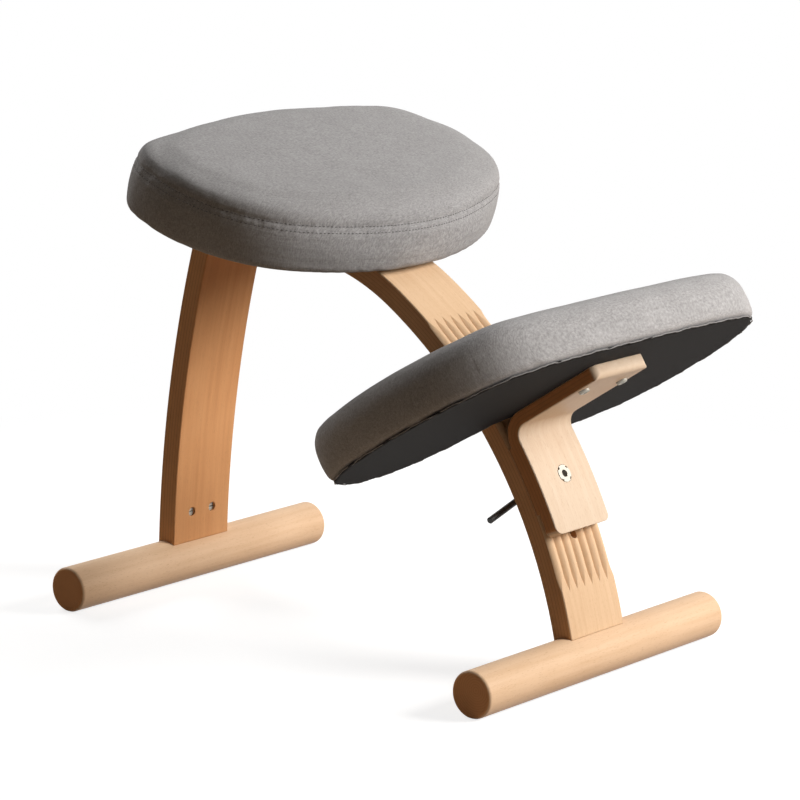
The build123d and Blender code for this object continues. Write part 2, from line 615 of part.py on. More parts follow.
def seat_outline(inset):
    middle = (SEAT_REAR - SEAT_FRONT) / 2
    circles = [
        end_circle(-SEAT_FRONT, SEAT_FRONT_RADIUS, -1),
        side_circle(SEAT_HALF_WIDTH, middle, SEAT_SIDE_RADIUS, 1),
        end_circle(SEAT_REAR, SEAT_REAR_RADIUS, 1),
        side_circle(SEAT_HALF_WIDTH, middle, SEAT_SIDE_RADIUS, -1),
    ]
    corners = [
        (SEAT_FRONT_CORNER, (SEAT_HALF_WIDTH, -SEAT_FRONT)),
        (SEAT_REAR_CORNER, (SEAT_HALF_WIDTH, SEAT_REAR)),
        (SEAT_REAR_CORNER, (-SEAT_HALF_WIDTH, SEAT_REAR)),
        (SEAT_FRONT_CORNER, (-SEAT_HALF_WIDTH, -SEAT_FRONT)),
    ]
    return soft_outline(circles, corners, inset)


def pad_outline(inset):
    middle = (PAD_REAR - PAD_FRONT) / 2
    rear = end_circle(PAD_REAR, PAD_REAR_RADIUS, 1)
    circles = [
        end_circle(-PAD_FRONT, PAD_FRONT_RADIUS, -1),
        side_circle(PAD_HALF_WIDTH, middle, PAD_SIDE_RADIUS, 1),
        rear,
        ((0, NOTCH_CENTRE), NOTCH_RADIUS, -1),
        rear,
        side_circle(PAD_HALF_WIDTH, middle, PAD_SIDE_RADIUS, -1),
    ]
    flare = NOTCH_RADIUS + NOTCH_FLARE
    corners = [
        (PAD_FRONT_CORNER, (PAD_HALF_WIDTH, -PAD_FRONT)),
        (PAD_REAR_CORNER, (PAD_HALF_WIDTH, PAD_REAR)),
        (NOTCH_FLARE, (flare, NOTCH_CENTRE)),
        (NOTCH_FLARE, (-flare, NOTCH_CENTRE)),
        (PAD_REAR_CORNER, (-PAD_HALF_WIDTH, PAD_REAR)),
        (PAD_FRONT_CORNER, (-PAD_HALF_WIDTH, -PAD_FRONT)),
    ]
    return soft_outline(circles, corners, inset)


def cushion(outline, band, crown, skin=0.0, below=0.0):
    """Crowned cushion, drawn in at foot and seam; skin shrinks it all round, below lowers its foot."""
    base = LINING_THICKNESS
    levels = [(base + share * (band - base), inset + skin) for share, inset in BAND_SHAPE]
    levels += [(band + share * (crown - skin), inset + skin) for share, inset in CROWN_SHAPE]
    if below:
        levels.insert(0, (base - below, BAND_SHAPE[0][1] + skin))
    return loft([Pos(0, 0, height) * outline(inset) for height, inset in levels], ruled=True)


def group(shapes):
    """One node of separate solids."""
    return Compound([solid for shape in shapes for solid in shape.solids()])


def upholstery(plane, outline, band, crown, bolts):
    """Board, foam, cover, lining and T-nuts of one cushion, placed on its plane."""
    base = LINING_THICKNESS
    board_top = base + BOARD_THICKNESS
    to_local = plane.location.inverse()
    holes = [to_local * bolt.location for bolt in bolts]
    lining = extrude(outline(LINING_INSET), amount=LINING_THICKNESS)
    board = Pos(0, 0, base) * extrude(outline(BOARD_INSET), amount=BOARD_THICKNESS)
    recess = Pos(0, 0, base) * extrude(outline(BOARD_INSET - CLOTH_GAP), amount=BOARD_THICKNESS)
    foam = cushion(outline, band, crown, COVER_THICKNESS + CLOTH_GAP) - recess
    cover = cushion(outline, band, crown) - cushion(outline, band, crown, COVER_THICKNESS, COVER_THICKNESS)
    nuts = []
    for hole in holes:
        lining -= hole * Cylinder(BOLT_DIAMETER / 2 + HOLE_GAP, 4 * LINING_THICKNESS)
        board -= hole * Cylinder(barrel_diameter(BOLT_DIAMETER) / 2 + SEAT_GAP, 4 * board_top)
        pocket = Cylinder(T_NUT_FLANGE / 2 + HOLE_GAP, 2 * (board_top + T_NUT_FLANGE_THICKNESS + CLOTH_GAP))
        foam -= hole * pocket
        nuts.append(t_nut(BOLT_DIAMETER, Plane(hole * Pos(0, 0, board_top))))
    shapes = [board, foam, cover, lining, group(nuts)]
    return [plane.location * shape for shape in shapes]


def clamp_washer_top():
    """Radius about the leg's arc centre of the washer's face: its rim lies just off the leg's hollow back."""
    back = FRONT_LEG_RADIUS - LEG_THICKNESS
    return sqrt(back**2 - (CLAMP_WASHER_DIAMETER / 2) ** 2) - SLIDE_GAP


def clamp():
    """Clamp bolt, washer, hub and lever, turning together on the bolt's axis."""
    washer_top = clamp_washer_top()
    hub_top = washer_top - CLAMP_WASHER_THICKNESS
    bolt_start = hub_top - CLAMP_BOLT_SEAT_DEPTH
    bolt_end = BRACKET_FRONT - CLAMP_TIP_RECESS
    bolt = drill(clamp_plane(bolt_start), CLAMP_BOLT_DIAMETER, bolt_end - bolt_start)
    washer = drill(clamp_plane(hub_top), CLAMP_WASHER_DIAMETER, CLAMP_WASHER_THICKNESS)
    washer -= drill(clamp_plane(bolt_start), CLAMP_BOLT_DIAMETER + 2 * SEAT_GAP, bolt_end - bolt_start)
    hub = Cylinder(CLAMP_HUB_DIAMETER / 2, CLAMP_HUB_HEIGHT, align=(Align.CENTER, Align.CENTER, Align.MAX))
    hub = fillet(hub.edges().group_by(Axis.Z)[0], CLAMP_HUB_ROUND)
    hub -= Cylinder(CLAMP_BOLT_DIAMETER / 2 + SCREW_GAP, 2 * CLAMP_BOLT_SEAT_DEPTH)
    aim = Plane(
        origin=(0, 0, -LEVER_DROP),
        x_dir=(0, 0, 1),
        z_dir=(-cos(radians(LEVER_TURN)), -sin(radians(LEVER_TURN)), 0),
    )
    lever_start = CLAMP_HUB_DIAMETER / 2 - LEVER_SEAT_DEPTH
    seat = offset_plane(aim, 0, 0, lever_start)
    hub -= drill(seat, LEVER_DIAMETER + 2 * SCREW_GAP, CLAMP_HUB_DIAMETER)
    rod = Cylinder(
        LEVER_DIAMETER / 2, LEVER_LENGTH - lever_start, align=(Align.CENTER, Align.CENTER, Align.MIN)
    )
    rod = placed(seat, chamfer(rod.edges().group_by(Axis.Z)[-1], LEVER_END_ROUND))
    hub_plane = clamp_plane(hub_top)
    return bolt, washer, placed(hub_plane, hub), placed(hub_plane, rod)


def build():
    """All nodes by name, with the feet's middle at Y = 0."""
    nodes = {
        "front_foot": foot(FRONT_FOOT, FRONT_BOLT_ANGLE),
        "rear_foot": foot(REAR_FOOT, REAR_BOLT_ANGLE),
        "front_leg": front_leg(),
        "rear_leg": rear_leg(),
        "knee_bracket": knee_bracket(),
    }
    ends = {"front": (FRONT_FOOT, FRONT_BOLT_ANGLE, 1), "rear": (REAR_FOOT, REAR_BOLT_ANGLE, -1)}
    for end, (place, angle, inward) in ends.items():
        bolts, nuts = foot_hardware(place, angle, inward)
        nodes[f"{end}_foot_bolts"] = bolts
        nodes[f"{end}_barrel_nuts"] = nuts
    pieces = ("board", "foam", "cover", "lining", "t_nuts")
    seat = upholstery(SEAT_PLANE, seat_outline, SEAT_BAND, SEAT_CROWN, seat_bolt_places())
    knee = upholstery(PAD_PLANE, pad_outline, PAD_BAND, PAD_CROWN, knee_bolt_places())
    for piece, seat_shape, knee_shape in zip(pieces, seat, knee):
        nodes[f"seat_{piece}"] = seat_shape
        nodes[f"knee_{piece}"] = knee_shape
    grip = BOARD_THICKNESS + LINING_THICKNESS
    seat_heads = [offset_plane(plane, 0, 0, -2 * LEG_THICKNESS) for plane in seat_bolt_places()]
    knee_heads = [offset_plane(plane, 0, 0, -BRACKET_THICKNESS) for plane in knee_bolt_places()]
    nodes["seat_bolts"] = group([socket_bolt(p, 2 * LEG_THICKNESS + grip) for p in seat_heads])
    nodes["knee_bolts"] = group([socket_bolt(p, BRACKET_THICKNESS + grip) for p in knee_heads])
    nodes["bracket_t_nut"] = t_nut(CLAMP_BOLT_DIAMETER, clamp_plane(BRACKET_FRONT - T_NUT_SINK))
    names = ("clamp_bolt", "clamp_washer", "clamp_hub", "clamp_lever")
    nodes.update(zip(names, clamp()))
    return nodes


def main():
    os.makedirs("parts", exist_ok=True)
    nodes = build()
    front = min(shape.bounding_box().min.Y for shape in nodes.values())
    rear = max(shape.bounding_box().max.Y for shape in nodes.values())
    shift = -(front + rear) / 2
    for name, shape in nodes.items():
        export_step(Pos(0, shift, 0) * shape, f"parts/{name}.step")
    axis_y, axis_z = FRONT_CENTRE
    clamp_y, clamp_z = polar(FRONT_CENTRE, clamp_washer_top(), CLAMP_ANGLE)
    print(f"middle shift {shift:.3f}")
    print(f"knee slide axis through y {axis_y + shift:.3f} z {axis_z:.3f}")
    down, up = degrees(SLIDE_DOWN / FRONT_LEG_RADIUS), degrees(SLIDE_UP / FRONT_LEG_RADIUS)
    print(f"knee slide range {-down:.3f} {up:.3f} deg")
    print(f"clamp axis through y {clamp_y + shift:.3f} z {clamp_z:.3f} angle {CLAMP_ANGLE:.3f} deg")
    print(f"feet at y {FRONT_FOOT[0] + shift:.3f} {REAR_FOOT[0] + shift:.3f}")


if __name__ == "__main__":
    main()
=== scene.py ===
"""Looks of the kneeling chair: lacquered beech, grey melange covers, black lining and plated hardware.

Metres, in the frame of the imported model: +X across the chair, +Y to the rear, +Z up.
"""

from math import atan2, cos, exp, hypot, pi, radians, sin

import bmesh
import bpy
import numpy
from mathutils import Matrix, Vector
from mathutils.bvhtree import BVHTree
from mathutils.kdtree import KDTree


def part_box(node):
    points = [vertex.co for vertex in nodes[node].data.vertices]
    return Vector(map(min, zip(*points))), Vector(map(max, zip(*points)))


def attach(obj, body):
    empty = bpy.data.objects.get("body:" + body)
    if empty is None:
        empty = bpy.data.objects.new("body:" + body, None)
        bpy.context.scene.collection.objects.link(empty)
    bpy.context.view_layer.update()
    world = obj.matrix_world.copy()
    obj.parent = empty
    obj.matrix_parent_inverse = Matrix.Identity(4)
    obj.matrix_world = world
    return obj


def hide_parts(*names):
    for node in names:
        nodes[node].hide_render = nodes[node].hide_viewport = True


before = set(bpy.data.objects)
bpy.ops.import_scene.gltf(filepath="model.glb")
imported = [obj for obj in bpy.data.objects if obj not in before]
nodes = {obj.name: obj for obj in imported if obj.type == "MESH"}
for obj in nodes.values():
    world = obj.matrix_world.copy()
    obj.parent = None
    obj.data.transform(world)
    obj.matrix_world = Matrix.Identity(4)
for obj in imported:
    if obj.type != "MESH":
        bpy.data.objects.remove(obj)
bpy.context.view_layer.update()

front_foot_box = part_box("front_foot")
rear_foot_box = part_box("rear_foot")
FEET_MIDDLE = sum(corner[1] for box in (front_foot_box, rear_foot_box) for corner in box) / 4


def from_feet(y, z):
    """Place in the side view, measured from midway between the feet."""
    return (FEET_MIDDLE + y, z)


# Places in the side view and radii of the bent wood
FRONT_ARC_CENTRE = from_feet(0.238781, -0.077148)
FRONT_ARC_RADIUS = 0.546
CROOK_CENTRE = from_feet(0.095173, 0.152673)
CROOK_RADIUS = 0.275
CROOK_START = radians(58)
CROOK_END = radians(74)
REAR_ARC_CENTRE = from_feet(-1.199317, 0.000944)
REAR_ARC_RADIUS = 1.497
REAR_BEND_CENTRE = from_feet(0.184582, 0.372847)
REAR_BEND_RADIUS = 0.025
REAR_BEND_START = radians(15.042)
REAR_BEND_END = radians(106)
BRACKET_BEND_CENTRE = from_feet(-0.230903, 0.255328)
BRACKET_BEND_START = radians(35.294)
BRACKET_BACK_RADIUS = 0.54645
BRACKET_BEND_OUTER = 0.029
FLANGE_SLOPE = radians(33.5)
FLANGE_START = from_feet(-0.214897, 0.27951)

# Cushions: middle of the underside and slope, positive where the front is high
SEAT_PLACE = from_feet(0.103, 0.441)
SEAT_SLOPE = radians(-16)
PAD_PLACE = from_feet(-0.261594, 0.310419)
PAD_SLOPE = radians(33.5)

# Seat cushion, heights above its underside
SEAT_CAP = 0.004
SEAT_SMOOTHING = 1
SEAT_DOME = 0.006
SEAT_RIM_RISE = 0.0032
SEAT_MIDDLE = 0.03
SEAT_EASE = 0.004
SEAT_SWELL = 0.002
SEAT_SEAM_HEIGHT = 0.0555
SEAT_SEAM_DEPTH = 0.0013
SEAT_STITCH_HEIGHT = 0.049
SEAT_STITCH_DEPTH = 0.0007
SEAT_LINING_INSET = 0.014
SEAT_TONE = 1.0
SEAT_CREASES = 0.0022

# Knee pad
PAD_CAP = 0.002
PAD_SMOOTHING = 2
PAD_MIDDLE = 0.025
PAD_EASE = 0.036
PAD_SWELL = 0.0045
PAD_LINING_INSET = 0.0035
PAD_TONE = 1.12
PAD_CREASES = 0.0008
HEM_INSET = 0.0026
HEM_RADIUS = 0.0006
# The hem's fabric is the cover's melange darkened as painted shade, to dull the light its roll catches
HEM_PAINTED_SHADE_TONE = 0.85
# Where the sides of the pad's notch come close to the edges of the leg, in the pad's own axes
NOTCH_SPOTS = ((-0.045, 0.092), (0.045, 0.092))
NOTCH_RELIEF = 0.006
NOTCH_REACH = 0.015
NOTCH_FOOT = 0.004

# Upholstery
VOXEL = 0.005
CLOTH_FRAMES = 12
CLOTH = {
    "quality": 3,
    "mass": 0.12,
    "tension_stiffness": 18,
    "compression_stiffness": 18,
    "shear_stiffness": 6,
    "bending_stiffness": 1.2,
    "use_pressure": True,
    "uniform_pressure_force": 4.0,
}
EVENING_ROUNDS = 12
BOTTOM_HELD = 0.004
RIM_FADE = 0.006
SEAM_WIDTH = 0.0025
SEAM_LIFT = 0.0001
TOPSTITCH_LIFT = 0.0002
PUCKER_DEPTH = 0.0003
PUCKER_WAVE = 0.0035
PUCKER_RADIUS = 0.19
STITCH_LENGTH = 0.0042
STITCH_GAP = 0.0006
STITCH_RADIUS = 0.00036
STITCH_TAPER = 0.45
# Outlines of linings and hems: the level they are taken at, and the spacing of their points
EDGE_LEVEL = 0.006
OUTLINE_SPACING = 0.004
PLAN_REACH = 0.05
LINING_THICKNESS = 0.0011
# Rows of a lining from its edge inwards: step in, waviness and sag
LINING_ROWS = ((0.0, 1.0, 0.0), (0.004, 0.8, -0.0004), (0.010, 0.3, -0.0001), (0.018, 0.0, 0.0))
LINING_SWAY = 0.0022
LINING_CURL = 0.0008
HEM_SWAY = 0.0011
HEM_LIFT = 0.0007
TINY = 1e-9


def new_material(name):
    """A material with an empty node tree but for its shader and output."""
    material = bpy.data.materials.new(name)
    material.use_nodes = True
    tree = material.node_tree
    tree.nodes.clear()
    shader = tree.nodes.new("ShaderNodeBsdfPrincipled")
    output = tree.nodes.new("ShaderNodeOutputMaterial")
    tree.links.new(shader.outputs["BSDF"], output.inputs["Surface"])
    return material, tree, shader


class Graph:
    """Short names for the shader nodes of one material."""

    def __init__(self, name):
        self.material, self.tree, self.shader = new_material(name)

    def put(self, socket, value):
        if isinstance(value, bpy.types.NodeSocket):
            self.tree.links.new(value, socket)
        else:
            socket.default_value = value

    def math(self, operation, *values, clamp=False):
        node = self.tree.nodes.new("ShaderNodeMath")
        node.operation = operation
        node.use_clamp = clamp
        for socket, value in zip(node.inputs, values):
            self.put(socket, value)
        return node.outputs[0]

    def weighted(self, *terms):
        """Sum of values, each times its weight."""
        total = None
        for value, weight in terms:
            term = self.math("MULTIPLY", value, weight)
            total = term if total is None else self.math("ADD", total, term)
        return total

    def coordinates(self, output="Object"):
        return self.tree.nodes.new("ShaderNodeTexCoord").outputs[output]

    def split(self, vector):
        node = self.tree.nodes.new("ShaderNodeSeparateXYZ")
        self.put(node.inputs[0], vector)
        return node.outputs[:]

    def join(self, x, y, z):
        node = self.tree.nodes.new("ShaderNodeCombineXYZ")
        for socket, value in zip(node.inputs, (x, y, z)):
            self.put(socket, value)
        return node.outputs[0]

    def scaled(self, vector, scale):
        node = self.tree.nodes.new("ShaderNodeVectorMath")
        node.operation = "MULTIPLY"
        self.put(node.inputs[0], vector)
        self.put(node.inputs[1], scale)
        return node.outputs[0]

    def noise(self, vector, scale=1.0, detail=4.0, roughness=0.55):
        node = self.tree.nodes.new("ShaderNodeTexNoise")
        self.put(node.inputs["Vector"], vector)
        self.put(node.inputs["Scale"], scale)
        self.put(node.inputs["Detail"], detail)
        self.put(node.inputs["Roughness"], roughness)
        return node.outputs["Fac"]

    def cells(self, vector, scale):
        node = self.tree.nodes.new("ShaderNodeTexVoronoi")
        self.put(node.inputs["Vector"], vector)
        self.put(node.inputs["Scale"], scale)
        return node.outputs["Distance"]

    def ramp(self, factor, *stops):
        node = self.tree.nodes.new("ShaderNodeValToRGB")
        elements = node.color_ramp.elements
        while len(elements) < len(stops):
            elements.new(1.0)
        for element, (place, colour) in zip(elements, stops):
            element.position = place
            element.color = (*colour, 1.0)
        self.put(node.inputs[0], factor)
        return node.outputs[0]

    def step(self, value, low, high):
        """0 below low, 1 above high, smooth between."""
        node = self.tree.nodes.new("ShaderNodeMapRange")
        node.interpolation_type = "SMOOTHSTEP"
        for name, number in (("Value", value), ("From Min", low), ("From Max", high)):
            self.put(node.inputs[name], number)
        return node.outputs[0]

    def mix(self, factor, first, second, blend="MIX"):
        node = self.tree.nodes.new("ShaderNodeMix")
        node.data_type = "RGBA"
        node.blend_type = blend
        colours = [c if isinstance(c, bpy.types.NodeSocket) else (*c, 1.0) for c in (first, second)]
        self.put(node.inputs[0], factor)
        self.put(node.inputs[6], colours[0])
        self.put(node.inputs[7], colours[1])
        return node.outputs[2]

    def choose(self, condition, if_true, if_false):
        """One of two numbers, by a condition of 0 or 1."""
        node = self.tree.nodes.new("ShaderNodeMix")
        self.put(node.inputs[0], condition)
        self.put(node.inputs[2], if_false)
        self.put(node.inputs[3], if_true)
        return node.outputs[0]

    def bump(self, height, distance, strength=1.0, normal=None):
        node = self.tree.nodes.new("ShaderNodeBump")
        self.put(node.inputs["Height"], height)
        self.put(node.inputs["Distance"], distance)
        self.put(node.inputs["Strength"], strength)
        if normal is not None:
            self.put(node.inputs["Normal"], normal)
        return node.outputs[0]

    def eased(self, radius):
        """Normal that rounds sharp edges."""
        node = self.tree.nodes.new("ShaderNodeBevel")
        node.samples = 6
        self.put(node.inputs["Radius"], radius)
        return node.outputs[0]

    def finish(self, colour, roughness, normal=None, **sockets):
        self.put(self.shader.inputs["Base Color"], colour)
        self.put(self.shader.inputs["Roughness"], roughness)
        if normal is not None:
            self.put(self.shader.inputs["Normal"], normal)
        for name, value in sockets.items():
            self.put(self.shader.inputs[name.replace("_", " ")], value)
        return self.material


def polar(g, centre, start):
    """Place across, and radius and angle about a centre; the angle starts at +Y, or at -Y if start is -1."""
    x, y, z = g.split(g.coordinates())
    dy = g.math("SUBTRACT", y, centre[0])
    dz = g.math("SUBTRACT", z, centre[1])
    radius = g.math("SQRT", g.math("ADD", g.math("MULTIPLY", dy, dy), g.math("MULTIPLY", dz, dz)))
    angle = g.math("ARCTAN2", dz, g.math("MULTIPLY", dy, start))
    return x, radius, angle


def straightened(g, radius, angle, end, nominal):
    """Depth and length of a board that follows an arc up to an end angle and runs straight on from there."""
    beyond = g.math("MAXIMUM", g.math("SUBTRACT", angle, end), 0.0)
    depth = g.math("MULTIPLY", radius, g.math("COSINE", beyond))
    length = g.math("ADD", g.math("MULTIPLY", g.math("MINIMUM", angle, end), nominal),
                    g.math("MULTIPLY", radius, g.math("SINE", beyond)))
    return depth, length


def front_leg_grain(g):
    """An arc up to the crook, then the crook's tighter arc and a straight end."""
    x, radius, angle = polar(g, FRONT_ARC_CENTRE, -1.0)
    _, crook_radius, crook_angle = polar(g, CROOK_CENTRE, -1.0)
    crook_depth, crook_length = straightened(g, crook_radius, crook_angle, CROOK_END, CROOK_RADIUS)
    crooked = g.math("GREATER_THAN", angle, CROOK_START)
    step_out = FRONT_ARC_RADIUS - CROOK_RADIUS
    depth = g.choose(crooked, g.math("ADD", crook_depth, step_out), radius)
    length = g.choose(crooked, g.math("ADD", crook_length, CROOK_START * step_out),
                      g.math("MULTIPLY", angle, FRONT_ARC_RADIUS))
    return x, length, depth


def rear_leg_grain(g):
    """A flat arc up to the bend under the seat, then the bend and a straight end."""
    x, radius, angle = polar(g, REAR_ARC_CENTRE, 1.0)
    _, bend_radius, bend_angle = polar(g, REAR_BEND_CENTRE, 1.0)
    bend_depth, bend_length = straightened(g, bend_radius, bend_angle, REAR_BEND_END, REAR_BEND_RADIUS)
    bent = g.math("GREATER_THAN", angle, REAR_BEND_START)
    offset = hypot(*(bend - arc for bend, arc in zip(REAR_BEND_CENTRE, REAR_ARC_CENTRE)))
    depth = g.choose(bent, g.math("ADD", bend_depth, offset), radius)
    length = g.choose(bent, g.math("ADD", bend_length, REAR_ARC_RADIUS * REAR_BEND_START),
                      g.math("MULTIPLY", angle, REAR_ARC_RADIUS))
    return x, length, depth


def bracket_grain(g):
    """The arm follows the leg, the bend its own arc, and the flange is flat."""
    x, radius, angle = polar(g, FRONT_ARC_CENTRE, -1.0)
    _, bend_radius, _ = polar(g, BRACKET_BEND_CENTRE, 1.0)
    _, y, z = g.split(g.coordinates())
    dy = g.math("SUBTRACT", y, FLANGE_START[0])
    dz = g.math("SUBTRACT", z, FLANGE_START[1])
    forward = g.weighted((dz, sin(FLANGE_SLOPE)), (dy, -cos(FLANGE_SLOPE)))
    height = g.weighted((dy, sin(FLANGE_SLOPE)), (dz, cos(FLANGE_SLOPE)))
    on_flange = g.math("GREATER_THAN", forward, 0.0)
    on_bend = g.math("GREATER_THAN", angle, BRACKET_BEND_START)
    arm_depth = g.math("SUBTRACT", radius, BRACKET_BACK_RADIUS)
    bend_depth = g.math("SUBTRACT", BRACKET_BEND_OUTER, bend_radius)
    depth = g.choose(on_flange, g.math("MULTIPLY", height, -1.0), g.choose(on_bend, bend_depth, arm_depth))
    arm_length = g.math("MULTIPLY", angle, FRONT_ARC_RADIUS)
    length = g.choose(on_flange, g.math("ADD", forward, BRACKET_BEND_START * FRONT_ARC_RADIUS), arm_length)
    return x, length, depth


# Wood colours: streaks from dark to light, sawn edges light and dark, then glue lines, flecks and fibres
FRONT_LEG_TONES = ((0.649, 0.429, 0.256), (0.726, 0.503, 0.316), (0.788, 0.562, 0.371))
# Rear leg: the same beech, darker and more saturated, as painted shade and warm bounced light from under the
# seat
REAR_LEG_TONES_PAINTED_SHADE = ((0.600, 0.284, 0.120), (0.680, 0.342, 0.154), (0.740, 0.396, 0.188))
BRACKET_TONES = ((0.675, 0.508, 0.365), (0.733, 0.583, 0.439), (0.775, 0.634, 0.497))
DOWEL_TONES = ((0.704, 0.470, 0.289), (0.782, 0.545, 0.355), (0.840, 0.605, 0.411))
FRONT_LEG_SAWN = (0.740, 0.420, 0.215), (0.600, 0.310, 0.140)
REAR_LEG_SAWN = (0.800, 0.440, 0.210), (0.660, 0.330, 0.145)
BRACKET_SAWN = (0.610, 0.270, 0.095), (0.480, 0.195, 0.062)
END_TONES = (0.800, 0.420, 0.205), (0.660, 0.310, 0.135)
LINE_COLOUR = (0.260, 0.105, 0.040)
FLECK_COLOUR = (0.420, 0.210, 0.090)
FIBRE_COLOUR = (0.540, 0.300, 0.145)

# Grain: scales per metre across and along a board, and the levels where a mark starts and is full
STREAK_SCALES = (150.0, 6.0)
FIBRE_SCALES = (900.0, 22.0)
FLECK_SCALES = (1500.0, 190.0)
PATCH_SCALE = 9.0
STREAK_SHARE = 0.6
TONE_STOPS = (0.30, 0.52, 0.75)
FLECK_LEVELS = (0.60, 0.74)
FLECK_STRENGTH = 0.30
FIBRE_LEVELS = (0.45, 0.75)
FIBRE_STRENGTH = 0.14
GRAIN_RELIEF = 0.00012
WOOD_SPECULAR = 0.05
EASED_EDGE = 0.0016

# Sawn edges of bent boards: veneers, and the glue lines between them in shares of a veneer
VENEER = 0.004
VENEER_SHADE_SCALE = 7.3
SAWN_LEVELS = (0.80, 0.97)
SAWN_STRENGTH = 0.9
GLUE_LEVELS = (0.02, 0.12)
GLUE_STRENGTH = 0.40
GLUE_DEPTH = 0.8

# Ends of the dowels
END_LEVELS = (0.65, 0.95)
RING_WIDTH = 0.0026
RING_WOBBLE = 0.0022
RING_WOBBLE_SCALE = 60.0
RING_LEVELS = (0.35, 0.95)
PORE_SCALE = 1400.0

# Weave: yarn colours from dark to light, and scales per metre
YARN_COLOURS = ((0.250, 0.243, 0.242), (0.340, 0.333, 0.334), (0.455, 0.447, 0.451))
YARN_STOPS = (0.36, 0.50, 0.64)
WARP_SCALES = (1700.0, 260.0, 1700.0)
WEFT_SCALES = (260.0, 1700.0, 260.0)
SLUB_SCALES = (420.0, 420.0, 420.0)
CLOUD_SCALE = 26.0
THREAD_PITCH = 0.00085
WEAVE_RELIEF = 0.00028
CREASE_SCALES = (7.0, 7.0, 85.0)


def marked(g, tones, streaks, flecks):
    """Colour of planed beech in soft streaks and patches with dark flecks, and the flecks' strength."""
    patches = g.noise(g.coordinates(), scale=PATCH_SCALE, detail=2.0)
    tone = g.weighted((streaks, STREAK_SHARE), (patches, 1 - STREAK_SHARE))
    colour = g.ramp(tone, *zip(TONE_STOPS, tones))
    fleck = g.step(flecks, *FLECK_LEVELS)
    return g.mix(g.math("MULTIPLY", fleck, FLECK_STRENGTH), colour, FLECK_COLOUR), fleck


def sideways(g, levels):
    """1 on faces that look along X and 0 on the others."""
    return g.step(g.math("ABSOLUTE", g.split(g.coordinates("Normal"))[0]), *levels)


def beech(name, grain, tones, sawn_tones):
    """Lacquered beech: long soft streaks, short dark flecks, and glue lines on sawn edges of bent boards."""
    g = Graph(name)
    across, length, depth = grain(g)

    def along_board(scales, detail):
        fine, coarse = scales
        return g.noise(g.scaled(g.join(across, length, depth), (fine, coarse, fine)), detail=detail)

    streaks = along_board(STREAK_SCALES, 5.0)
    fibres = along_board(FIBRE_SCALES, 2.0)
    colour, fleck = marked(g, tones, streaks, along_board(FLECK_SCALES, 1.0))
    fibre = g.math("MULTIPLY", g.step(fibres, *FIBRE_LEVELS), FIBRE_STRENGTH)
    colour = g.mix(fibre, colour, FIBRE_COLOUR)
    layer = g.math("DIVIDE", depth, VENEER)
    off_line = g.math("ABSOLUTE", g.math("SUBTRACT", g.math("FRACT", layer), 0.5))
    edge = sideways(g, SAWN_LEVELS)
    line = g.math("MULTIPLY", g.math("SUBTRACT", 1.0, g.step(off_line, *GLUE_LEVELS)), edge)
    shade = g.noise(g.join(g.math("FLOOR", layer), 0.0, 0.0), scale=VENEER_SHADE_SCALE, detail=0.0)
    sawn = g.mix(g.weighted((shade, 0.6), (streaks, 0.4)), *sawn_tones)
    colour = g.mix(g.math("MULTIPLY", edge, SAWN_STRENGTH), colour, sawn)
    colour = g.mix(g.math("MULTIPLY", line, GLUE_STRENGTH), colour, LINE_COLOUR)
    relief = g.weighted((fibres, 0.5), (fleck, -0.5), (line, -GLUE_DEPTH))
    roughness = g.math("ADD", 0.36, g.math("MULTIPLY", streaks, 0.16))
    normal = g.bump(relief, GRAIN_RELIEF, 0.6, g.eased(EASED_EDGE))
    return g.finish(colour, roughness, normal, Specular_IOR_Level=WOOD_SPECULAR)


def dowel_beech(name, pith):
    """Turned beech: grain along the dowel, and rings about a pith (y, z) with dark pores on its ends."""
    g = Graph(name)

    def along_dowel(scales, detail):
        fine, coarse = scales
        return g.noise(g.scaled(g.coordinates(), (coarse, fine, fine)), detail=detail)

    streaks = along_dowel(STREAK_SCALES, 4.0)
    colour, fleck = marked(g, DOWEL_TONES, streaks, along_dowel(FLECK_SCALES, 1.0))
    _, ring_radius, _ = polar(g, pith, 1.0)
    wobble = g.noise(g.coordinates(), scale=RING_WOBBLE_SCALE, detail=2.0)
    wobbly = g.weighted((ring_radius, 1.0), (wobble, RING_WOBBLE))
    ring = g.step(g.math("FRACT", g.math("DIVIDE", wobbly, RING_WIDTH)), *RING_LEVELS)
    end_colour = g.mix(g.math("MULTIPLY", ring, 0.5), *END_TONES)
    pores = g.math("SUBTRACT", 0.5, g.cells(g.coordinates(), PORE_SCALE), clamp=True)
    end_colour = g.mix(g.math("MULTIPLY", pores, 0.5), end_colour, FLECK_COLOUR)
    on_end = sideways(g, END_LEVELS)
    colour = g.mix(on_end, colour, end_colour)
    roughness = g.math("ADD", 0.38, g.math("MULTIPLY", on_end, 0.2))
    normal = g.bump(g.math("SUBTRACT", streaks, fleck), GRAIN_RELIEF, 0.5)
    return g.finish(colour, roughness, normal, Specular_IOR_Level=WOOD_SPECULAR)


